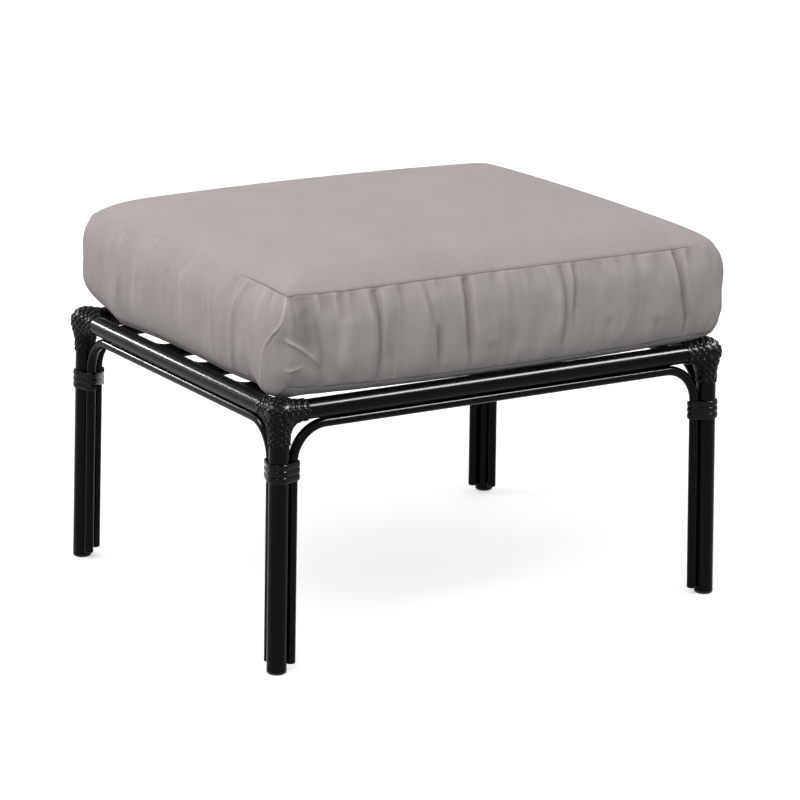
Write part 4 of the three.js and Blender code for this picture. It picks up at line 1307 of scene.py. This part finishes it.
# One more seam runs up each corner of the boxing. The front left one has slid
# round onto the left side: its line is given by place round the corner and height
SLID_SEAM = ((-33, 149), (-32, 139), (-31, 128), (-34, 115), (-40, 106), (-49, 97),
             (-61, 81), (-67, 63), (-70, 45), (-72, 22))
SLID_LIP, SLID_DIP = 2.0, 0.9
near = np.nonzero(is_wall & (points[:, 0] < -0.28) & (points[:, 1] < -0.1))[0]
round_corner = (points[near, 0] - points[near, 1]) / math.sqrt(2) * 1000
facing_left = np.clip(-normals[:, 0] * 2, 0, 1)
off, walked, run = along_line(np.stack([round_corner, height[near]], axis=1), SLID_SEAM)
fading_down = eased(walked / 6) * (1 - 0.6 * eased((walked - 60) / 40))
rise[near] += (SLID_LIP * bell((off - 1.0) / 1.6) - SLID_DIP * bell((off + 2.0) / 1.6)) * fading_down
# painted highlight along the seam's lip, strongest where the cloth faces left
painted_shading[near] += bell((off - 1.2) / 1.5) * (1 - 0.8 * eased(walked / 110)) * (facing_left[near] + 0.2)

# Painted shade on the cloth between that seam and the first folds of the front, and behind that seam
SLACK_SHADE_ON_FRONT, SLACK_SHADE_BEHIND_SEAM = 0.22, 0.34
slack_shade = SLACK_SHADE_ON_FRONT * bell((points[:, 0] + 0.29) / 0.032) * bell((height - 78) / 45)
slack_shade *= normals[:, 1] < -0.5
slack_shade[near] += (SLACK_SHADE_BEHIND_SEAM * eased(-off / 6) * eased((-0.28 - points[near, 0]) / 0.03)
                * eased((height[near] - 8) / 20))

# The other three drift a little aside on their way down
CORNER_REACH = 0.09
SEAM_DRIFT = 0.008
CORNER_LIP, CORNER_DIP = 1.4, 2.0
for sx, sy in ((1, -1), (-1, 1), (1, 1)):
    from_x = FULL_HALF_WIDTH - sx * (points[:, 0] - CUSHION_AT[0])
    from_y = FULL_HALF_DEPTH - sy * (points[:, 1] - CUSHION_AT[1])
    drift = SEAM_DRIFT * sx * sy * (1 - share) ** 2
    off = ((from_x - from_y) / math.sqrt(2) + drift) * 1000
    near = is_wall & (from_x < CORNER_REACH) & (from_y < CORNER_REACH)
    rise += np.where(near, CORNER_LIP * bell((off - 2.4) / 2.0) - CORNER_DIP * bell(off / 1.5), 0)
points = points + normals * (rise / 1000)[:, None]

# The back boxing is two strips whose folded edges are stitched down on the zip
# tape, which draws them in: five rows make the slot and two the folded edges
ZIP_HEIGHT = 0.4163
ZIP_ENDS = (-0.234, 0.246)
SLOT_FLOOR = 0.2732
LIP_FACE = 0.2779
LIP_CROWN = 0.2787
SLOT_LONGER = 0.003
PULL_ROOM = 0.019
DRAWN_ROWS, DRAWN_REACH = 12, 0.022
ROWS_AFTER_CUTS = CELLS_Z * 4
ZIP_ROW = round((ZIP_HEIGHT - RAIL_HEIGHT - BOTTOM_SEAM) / (TOP_SEAM - BOTTOM_SEAM) * ROWS_AFTER_CUTS)
ROW_HEIGHTS = (0, 0.0023, 0.0045, 0.0049, 0.0062, 0.008)
ROW_FACES = (SLOT_FLOOR, SLOT_FLOOR, SLOT_FLOOR, LIP_FACE, LIP_CROWN, LIP_CROWN)
row = np.rint(share * ROWS_AFTER_CUTS).astype(int) - ZIP_ROW
near = np.nonzero((points[:, 1] > 0.25) & is_wall & (normals[:, 1] > 0.3) & (np.abs(row) < 20))[0]
beyond_end = np.maximum(ZIP_ENDS[0] - points[near, 0], points[near, 0] - ZIP_ENDS[1])
from_row = np.abs(row[near])
in_slot = beyond_end < SLOT_LONGER
face = np.where(in_slot, np.take(ROW_FACES, np.minimum(from_row, 5)), LIP_CROWN)
drawn = (1 - eased((from_row - 5) / DRAWN_ROWS)) * (1 - eased((beyond_end - PULL_ROOM) / DRAWN_REACH))
points[near, 1] += drawn * (face - points[near, 1])
level = ZIP_HEIGHT + np.sign(row[near]) * np.where(
    from_row < 6, np.take(ROW_HEIGHTS, np.minimum(from_row, 5)),
    ROW_HEIGHTS[5] + (from_row - 5) * (TOP_SEAM - BOTTOM_SEAM) / ROWS_AFTER_CUTS)
points[near, 2] += drawn * (level - points[near, 2])

# It rests on the slats, the rails and the wraps, a hair above each
OVER_SLATS, OVER_RAILS, OVER_WRAPS = 0.0004, 0.0005, 0.0016
floor_here = np.full(len(points), RAIL_HEIGHT + SLAT_TOP + OVER_SLATS)
for along, side in SIDES.values():
    aside = np.abs(points[:, 1 - along] - side * HALF_SIZE[1 - along])
    end = HALF_SIZE[along] - np.abs(points[:, along])
    girth = np.where(end < WRAP_RAIL_REACH + 0.002, GRAIN_RADIUS + OVER_WRAPS, TUBE_RADIUS + OVER_RAILS)
    over = np.sqrt(np.clip(girth ** 2 - aside ** 2, 0, None))
    floor_here = np.maximum(floor_here, np.where(over > 0, RAIL_HEIGHT + over, 0))
points[:, 2] = np.where(share < 0.4, np.maximum(points[:, 2], floor_here), points[:, 2])
fine.vertices.foreach_set("co", points.ravel())
fine.update()
fine.shade_smooth()

# Each panel is cut with the yarn's streaks running front to back on the top
# and upright on the boxing, so the cloth has a map of its own. The shifts keep
# one panel's yarn from running on into the next
SIDE_SHIFT, BOXING_SHIFT = 0.37, 1.7
cut = fine.uv_layers.new(name="cloth")
corner_vertex = read(fine.loops, "vertex_index", kind=np.int64)
size = read(fine.polygons, "loop_total", kind=np.int64)
first_corner = np.concatenate([[0], np.cumsum(size)[:-1]])
panel = np.repeat(np.add.reduceat(share[corner_vertex], first_corner) / size, size)
face_normal = np.repeat(read(fine.polygons, "normal", 3), size, axis=0)
corner_place = points[corner_vertex]
on_boxing = (panel > 0) & (panel < 1)
sideways = np.abs(face_normal[:, 0]) > np.abs(face_normal[:, 1])
u = np.where(on_boxing & sideways, corner_place[:, 1] + SIDE_SHIFT, corner_place[:, 0])
v = np.where(on_boxing, corner_place[:, 2] + BOXING_SHIFT, corner_place[:, 1])
cut.data.foreach_set("uv", np.stack([u, v], axis=1).astype(np.float32).ravel())
# 1 on the boxing and 0 on the panels, blended across the seams
noted(fine, "streaky", eased(0.5 + 8 * (0.5 - np.abs(share - 0.5))))

# Painted highlight lightens the cloth on sharp crests and along the slid seam's lip, and painted shade
# darkens it in creases and beside the front left corner
CREST_HIGHLIGHT, CREASE_SHADE = 0.42, 0.3
painted_shading = np.clip(painted_shading, -1, 1) - slack_shade
noted(fine, "painted_shading_factor", 1 + painted_shading * np.where(painted_shading > 0, CREST_HIGHLIGHT, CREASE_SHADE))

YARN_PITCH = 0.0011


def heathered_cloth():
    material, tree = shader("heathered_cloth")
    place = node(tree, "ShaderNodeUVMap", uv_map="cloth").outputs[0]

    def streaks(across, along, detail, seed):
        stretched = node(tree, "ShaderNodeMapping", {
            "Vector": place, "Location": (seed, seed * 2, 0), "Scale": (across, along, 1)})
        return node(tree, "ShaderNodeTexNoise", {
            "Vector": stretched.outputs[0], "Scale": 1.0, "Detail": detail, "Roughness": 0.6},
            noise_dimensions="2D").outputs["Fac"]

    def added(a, weight, b):
        return reckoned(tree, "MULTIPLY_ADD", a, weight, b)

    warp = streaks(620, 22, 3, 3.1)
    slub = streaks(210, 9, 2, 8.7)
    weft = streaks(60, 900, 3, 5.3)
    fleck = streaks(700, 260, 3, 7.7)
    patch = streaks(14, 9, 3, 1.9)
    streaky = node(tree, "ShaderNodeAttribute", attribute_name="streaky").outputs["Fac"]
    upright = added(warp, 0.34, added(slub, 0.22, 0.12))
    short = added(warp, 0.25, added(fleck, 0.72, -0.085))
    heather = node(tree, "ShaderNodeMix", {"Factor": streaky, "A": short, "B": upright},
                   data_type="FLOAT").outputs["Result"]
    heather = added(weft, 0.2, heather)
    tone = mixed(tree, ranged(tree, heather, 0.0, 1.0, 0.36, 0.64),
                 (0.390, 0.368, 0.353, 1), (0.450, 0.425, 0.406, 1))
    faded = ranged(tree, patch, 0.97, 1.03, 0.3, 0.7)
    # painted highlight and shade from the folds and seams multiply the cloth's tone
    painted_shading_factor = node(tree, "ShaderNodeAttribute", attribute_name="painted_shading_factor").outputs["Fac"]
    tone = node(tree, "ShaderNodeMix", {
        "Factor": 1.0, "A": tone, "B": reckoned(tree, "MULTIPLY", faded, painted_shading_factor)},
        data_type="RGBA", blend_type="MULTIPLY").outputs["Result"]
    split = node(tree, "ShaderNodeSeparateXYZ", {0: place})
    turns = [reckoned(tree, "MULTIPLY", way, 2 * math.pi / YARN_PITCH) for way in split.outputs[:2]]
    weave = reckoned(tree, "MULTIPLY", *[reckoned(tree, "SINE", turn) for turn in turns])
    return surfaced(material, {
        "Base Color": tone, "Roughness": 0.95, "Specular IOR Level": 0.06,
        "Sheen Weight": 0.03, "Sheen Roughness": 0.5,
        "Normal": bumped(tree, added(weave, 0.35, heather), 0.35, 0.0004)})


fine.materials.clear()
fine.materials.append(heathered_cloth())
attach(cover, "cushion")
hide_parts("cushion_cover", "foam_core", "fibre_pad_top", "fibre_pad_bottom")


# Lock stitches
# The two edge seams get short dark stitches in the bottom of the groove where two panels meet; their dark
# colour is painted shade that draws the seam line.
STITCH_LENGTH = 0.0027
STITCH_GAP = 0.0009
STITCH_THICKNESS = 0.0009
STITCH_RISE = 0.001
STITCH_SINK = 0.0015


def stitch_tree():
    tree, given = geometry_tree(
        "lock_stitches", ("Line", "Geometry", None), ("Length", "Float", 0.003),
        ("Gap", "Float", 0.001), ("Thickness", "Float", 0.001))
    line = node(tree, "GeometryNodeMeshToCurve", {"Mesh": given["Line"]})
    spots = node(tree, "GeometryNodeResampleCurve", {
        "Curve": line.outputs[0], "Length": reckoned(tree, "ADD", given["Length"], given["Gap"])},
        mode="LENGTH")
    bead = node(tree, "GeometryNodeMeshUVSphere", {"Segments": 6, "Rings": 5, "Radius": 0.5})
    size = node(tree, "ShaderNodeCombineXYZ", {
        "X": given["Thickness"], "Y": given["Thickness"], "Z": given["Length"]})
    way = node(tree, "GeometryNodeInputTangent")
    turn = node(tree, "FunctionNodeAlignRotationToVector", {"Vector": way.outputs[0]}, axis="Z")
    laid = node(tree, "GeometryNodeInstanceOnPoints", {
        "Points": spots.outputs[0], "Instance": bead.outputs["Mesh"],
        "Rotation": turn.outputs[0], "Scale": size.outputs[0]})
    return ended(tree, laid, given["Finish"])


def thread_and_seam_shade(name, dark, light):
    material, tree = shader(name)
    ply = noise(tree, 2500.0, 2.0)
    return surfaced(material, {
        "Base Color": mixed(tree, ply, dark, light), "Roughness": 0.7, "Specular IOR Level": 0.2,
        "Normal": bumped(tree, ply, 0.4)})


LOCK_STITCHES = stitch_tree()
# The edge seams' thread is dark as painted shade along the seam line; the zip's thread has its own colour
SEAM_SHADE_THREAD = thread_and_seam_shade("thread_and_seam_shade", (0.055, 0.042, 0.038, 1), (0.1, 0.082, 0.075, 1))
HEATHERED_THREAD = thread_and_seam_shade("heathered_thread", (0.26, 0.245, 0.23, 1), (0.34, 0.32, 0.3, 1))


def seam_loop(level):
    """The cover's vertices on one edge seam, in order round it."""
    on = np.abs(share - level) < 1e-5
    beside = {}
    for a, b in edge_pairs[on[edge_pairs[:, 0]] & on[edge_pairs[:, 1]]]:
        beside.setdefault(int(a), []).append(int(b))
        beside.setdefault(int(b), []).append(int(a))
    start = min(beside)
    loop, before = [start], None
    while True:
        onward = [v for v in beside[loop[-1]] if v != before]
        if not onward or (onward[0] == start and len(loop) > 2):
            return loop
        before = loop[-1]
        loop.append(onward[0])


for name, level in (("top", 1.0), ("bottom", 0.0)):
    loop = seam_loop(level)
    # where the seam's groove fades, its dark stitches, painted shade of the seam line, sink into the cloth
    line = [points[i] + normals[i] * (STITCH_RISE - STITCH_SINK * fading[i]) for i in loop + loop[:1]]
    stitches = grown(f"cushion_{name}_stitches", line_mesh(line), LOCK_STITCHES, {
        "Length": STITCH_LENGTH, "Gap": STITCH_GAP, "Thickness": STITCH_THICKNESS, "Finish": SEAM_SHADE_THREAD})
    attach(stitches, "cushion")


# Zip
# A spiral zip in the middle of the back boxing: two woven tapes with a row of
# nylon teeth along their meeting edges, held by the stitched folded edges.
TAPE_FACE = 0.2762
TAPE_WIDTH = 0.0125
TAPE_THICKNESS = 0.0008
TOOTH_PITCH = 0.0013
TOOTH_SIZE = (0.0009, 0.0016, 0.0026)
TAPE_HALF_GAP = 0.0005
TOOTH_LEVEL = 0.0017
TOOTH_STAND = 0.0006
TOOTH_SLANT = 0.16
TEETH_START, TEETH_END = 0.004, 0.002
HALVES = (("upper", 1), ("lower", -1))


def woven_tape():
    material, tree = shader("woven_zip_tape")
    place = node(tree, "ShaderNodeTexCoord")
    weave = node(tree, "ShaderNodeTexWave", {
        "Vector": place.outputs["Object"], "Scale": 700.0, "Distortion": 1.5, "Detail": 2.0},
        wave_type="BANDS", bands_direction="DIAGONAL").outputs["Fac"]
    return surfaced(material, {
        "Base Color": mixed(tree, weave, (0.24, 0.225, 0.212, 1), (0.36, 0.34, 0.322, 1)),
        "Roughness": 0.8, "Specular IOR Level": 0.2, "Normal": bumped(tree, weave, 0.5)})


def nylon():
    material, tree = shader("moulded_nylon")
    return surfaced(material, {
        "Base Color": mixed(tree, noise(tree, 420.0, 3.0), (0.3, 0.285, 0.27, 1), (0.4, 0.38, 0.36, 1)),
        "Roughness": 0.42, "Specular IOR Level": 0.4})


def teeth_tree():
    tree, given = geometry_tree(
        "zip_teeth", ("Line", "Geometry", None), ("Pitch", "Float", 0.001),
        ("Size", "Vector", None), ("Slant", "Float", 0.0))
    line = node(tree, "GeometryNodeMeshToCurve", {"Mesh": given["Line"]})
    spots = node(tree, "GeometryNodeResampleCurve", {
        "Curve": line.outputs[0], "Length": given["Pitch"]}, mode="LENGTH")
    tooth = node(tree, "GeometryNodeMeshUVSphere", {"Segments": 8, "Rings": 5, "Radius": 0.5})
    turn = node(tree, "ShaderNodeCombineXYZ", {"Y": given["Slant"]})
    laid = node(tree, "GeometryNodeInstanceOnPoints", {
        "Points": spots.outputs[0], "Instance": tooth.outputs["Mesh"],
        "Rotation": turn.outputs[0], "Scale": given["Size"]})
    return ended(tree, laid, given["Finish"])


WOVEN_TAPE, NYLON, ZIP_TEETH = woven_tape(), nylon(), teeth_tree()


def extruded(name, outline, low_y, high_y, holes=()):
    """A flat plate facing the back: an outline in X and Z, with holes, pressed along Y."""
    flat = bmesh.new()
    edges = []
    for loop in (outline, *holes):
        verts = [flat.verts.new((x, low_y, z)) for x, z in loop]
        edges += [flat.edges.new((verts[i], verts[(i + 1) % len(verts)])) for i in range(len(verts))]
    flat.verts.index_update()
    walls = [tuple(v.index for v in edge.verts) for edge in edges]
    bmesh.ops.triangle_fill(flat, edges=edges, use_beauty=True)
    plan = [vertex.co.copy() for vertex in flat.verts]
    # in a fixed order, which the fill itself doesn't keep
    sheet = sorted(tuple(sorted(v.index for v in face.verts)) for face in flat.faces)
    flat.free()
    count = len(plan)
    plate = bmesh.new()
    verts = [plate.verts.new((p.x, y, p.z)) for y in (low_y, high_y) for p in plan]
    for face in sheet:
        plate.faces.new([verts[i] for i in face])
        plate.faces.new([verts[i + count] for i in face])
    for a, b in walls:
        plate.faces.new([verts[i] for i in (a, b, b + count, a + count)])
    bmesh.ops.recalc_face_normals(plate, faces=plate.faces)
    return from_bmesh(name, plate)


def rounded_plan(low_x, high_x, low_z, high_z, radius, steps=6):
    plan = []
    for cx, cz, start in ((high_x - radius, high_z - radius, 0), (low_x + radius, high_z - radius, 90),
                          (low_x + radius, low_z + radius, 180), (high_x - radius, low_z + radius, 270)):
        for step in range(steps + 1):
            angle = math.radians(start + 90 * step / steps)
            plan.append((cx + radius * math.cos(angle), cz + radius * math.sin(angle)))
    return plan


for half, sign in HALVES:
    near, far = sorted((ZIP_HEIGHT + sign * TAPE_HALF_GAP, ZIP_HEIGHT + sign * TAPE_WIDTH))
    tape = extruded(f"zip_tape_{half}_band", rounded_plan(ZIP_ENDS[0], ZIP_ENDS[1], near, far, 0.0008, 3),
                    TAPE_FACE - TAPE_THICKNESS, TAPE_FACE)
    tape.data.materials.append(WOVEN_TAPE)
    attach(tape, "cushion")
    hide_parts(f"zip_tape_{half}")
    # the lower half's teeth stand between the upper half's
    shift = 0.0 if sign > 0 else TOOTH_PITCH / 2
    line = [(x + shift, TAPE_FACE + TOOTH_STAND, ZIP_HEIGHT + sign * TOOTH_LEVEL)
            for x in (ZIP_ENDS[0] + TEETH_START, ZIP_ENDS[1] - TEETH_END)]
    teeth = grown(f"zip_teeth_{half}", line_mesh(line), ZIP_TEETH, {
        "Pitch": TOOTH_PITCH, "Size": TOOTH_SIZE, "Slant": sign * TOOTH_SLANT, "Finish": NYLON})
    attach(teeth, "cushion")

STITCH_LINE = 0.0068
STITCH_BEYOND = 0.006
STITCH_ON_LIP = 0.0001
THIN_STITCH = 0.0006
x_line = np.linspace(ZIP_ENDS[0] - STITCH_BEYOND, ZIP_ENDS[1] + STITCH_BEYOND, 160)
for half, sign in HALVES:
    line = [(x, LIP_CROWN + STITCH_ON_LIP, ZIP_HEIGHT + sign * STITCH_LINE) for x in x_line]
    stitches = grown(f"zip_stitches_{half}", line_mesh(line), LOCK_STITCHES, {
        "Length": STITCH_LENGTH, "Gap": STITCH_GAP, "Thickness": THIN_STITCH, "Finish": HEATHERED_THREAD})
    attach(stitches, "cushion")


# Slider and pull
# Die-cast zinc: two plates round the teeth joined by a thin wedge, two ears
# with a pin across them, and a flat tab that swings on the pin.
SLIDER_HOME = 0.2395
SLIDER_HALF = (0.0055, 0.004)
FRONT_PLATE = (0.2781, 0.2795)
BACK_PLATE = (0.2737, 0.2751)
PIN_CENTRE = 0.2817
PIN_RADIUS = 0.0008
EAR_INNER, EAR_OUTER = 0.0015, 0.0027
TAB_LENGTH = 0.022
TAB_HALF_WIDTH = 0.0026
NECK_LENGTH = 0.0044
TAB_THICKNESS = 0.0014
CAST_EDGE = 0.00025


def zinc_casting():
    material, tree = shader("zinc_casting")
    grain = noise(tree, 1500.0, 3.0)
    return surfaced(material, {
        "Base Color": (0.34, 0.335, 0.325, 1), "Metallic": 1.0,
        "Roughness": ranged(tree, grain, 0.26, 0.42), "Normal": bumped(tree, grain, 0.12)})


ZINC_CASTING = zinc_casting()


def round_about_pin(name, inner, outer, half_height):
    """A ring, or a rod where the inner radius is 0, round the pin's line."""
    sides, inner = 28, max(inner, 1e-5)
    rings = ((outer, -half_height), (outer, half_height), (inner, half_height), (inner, -half_height))
    verts = [(SLIDER_HOME + radius * c, PIN_CENTRE + radius * s, ZIP_HEIGHT + z)
             for radius, z in rings for c, s in circle(sides)]
    return mesh_object(name, verts, ring_faces(len(rings), sides, closed=True))


def joined(name, pieces):
    whole = bmesh.new()
    for piece in pieces:
        whole.from_mesh(piece.data)
        bpy.data.objects.remove(piece)
    bmesh.ops.recalc_face_normals(whole, faces=whole.faces)
    obj = from_bmesh(name, whole)
    obj.data.materials.append(ZINC_CASTING)
    flat_ends(obj, 35)
    worn(obj, CAST_EDGE)
    return obj


def about_slider(points):
    return [(SLIDER_HOME + x, ZIP_HEIGHT + z) for x, z in points]


half_long, half_high = SLIDER_HALF
shield = [(-half_long, 0.0024), (-0.0046, 0.0031), (-0.001, half_high * 0.93), (0.0024, half_high),
          (0.0048, half_high * 0.94), (half_long, 0.0031), (half_long, 0.0012)]
shield = ([(-half_long, -0.0024)] + shield + [(0.0049, 0.0)]
          + [(x, -z) for x, z in reversed(shield[1:])])
wedge = [(-half_long * 0.9, -0.0002), (-half_long * 0.9, 0.0002), (0.0045, 0.0002), (0.0045, -0.0002)]
ear = rounded_plan(-0.0016, 0.0016, EAR_INNER, EAR_OUTER, 0.0003, 3)
slider_pieces = [
    extruded("front_plate", about_slider(shield), *FRONT_PLATE),
    extruded("back_plate", about_slider(shield), *BACK_PLATE),
    extruded("wedge", about_slider(wedge), BACK_PLATE[1] - 0.0001, FRONT_PLATE[0] + 0.0001),
    round_about_pin("pin", 0, PIN_RADIUS, EAR_OUTER - 0.0002)]
for sign in (-1, 1):
    slider_pieces.append(extruded("ear", about_slider([(x, sign * z) for x, z in ear]),
                                  FRONT_PLATE[1] - 0.0003, PIN_CENTRE + PIN_RADIUS + 0.0005))
    flange = rounded_plan(-0.0036, 0.0044, 0.0035, 0.0039, 0.0001, 2)
    slider_pieces.append(extruded("flange", about_slider([(x, sign * z) for x, z in flange]),
                                  FRONT_PLATE[0] - 0.0014, FRONT_PLATE[0] + 0.0002))
slider = joined("zip_slider_cast", slider_pieces)
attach(slider, "zip_slider")
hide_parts("zip_slider")


def narrowed(x, z):
    """The tab grows from 0.82 of its width at the neck to all of it at its end."""
    return x, z * (0.82 + 0.18 * (-x - NECK_LENGTH) / (TAB_LENGTH - NECK_LENGTH))


tab_plan = rounded_plan(-TAB_LENGTH, -NECK_LENGTH + 0.0003, -TAB_HALF_WIDTH, TAB_HALF_WIDTH, 0.0012)
tab_plan = [narrowed(x, z) for x, z in tab_plan]
slot_plan = rounded_plan(-TAB_LENGTH + 0.0018, -TAB_LENGTH + 0.0074, -0.0012, 0.0012, 0.00115)
neck_plan = rounded_plan(-NECK_LENGTH - 0.0004, -0.0012, -0.0012, 0.0012, 0.0002, 2)
tab_faces = (PIN_CENTRE - TAB_THICKNESS / 2, PIN_CENTRE + TAB_THICKNESS / 2)
pull = joined("zip_pull_tab", [
    round_about_pin("eye", PIN_RADIUS + 0.0003, 0.0019, 0.0012),
    extruded("neck", about_slider(neck_plan), *tab_faces),
    extruded("tab", about_slider(tab_plan), *tab_faces, holes=(about_slider(slot_plan),))])
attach(pull, "zip_pull")
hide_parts("zip_pull")
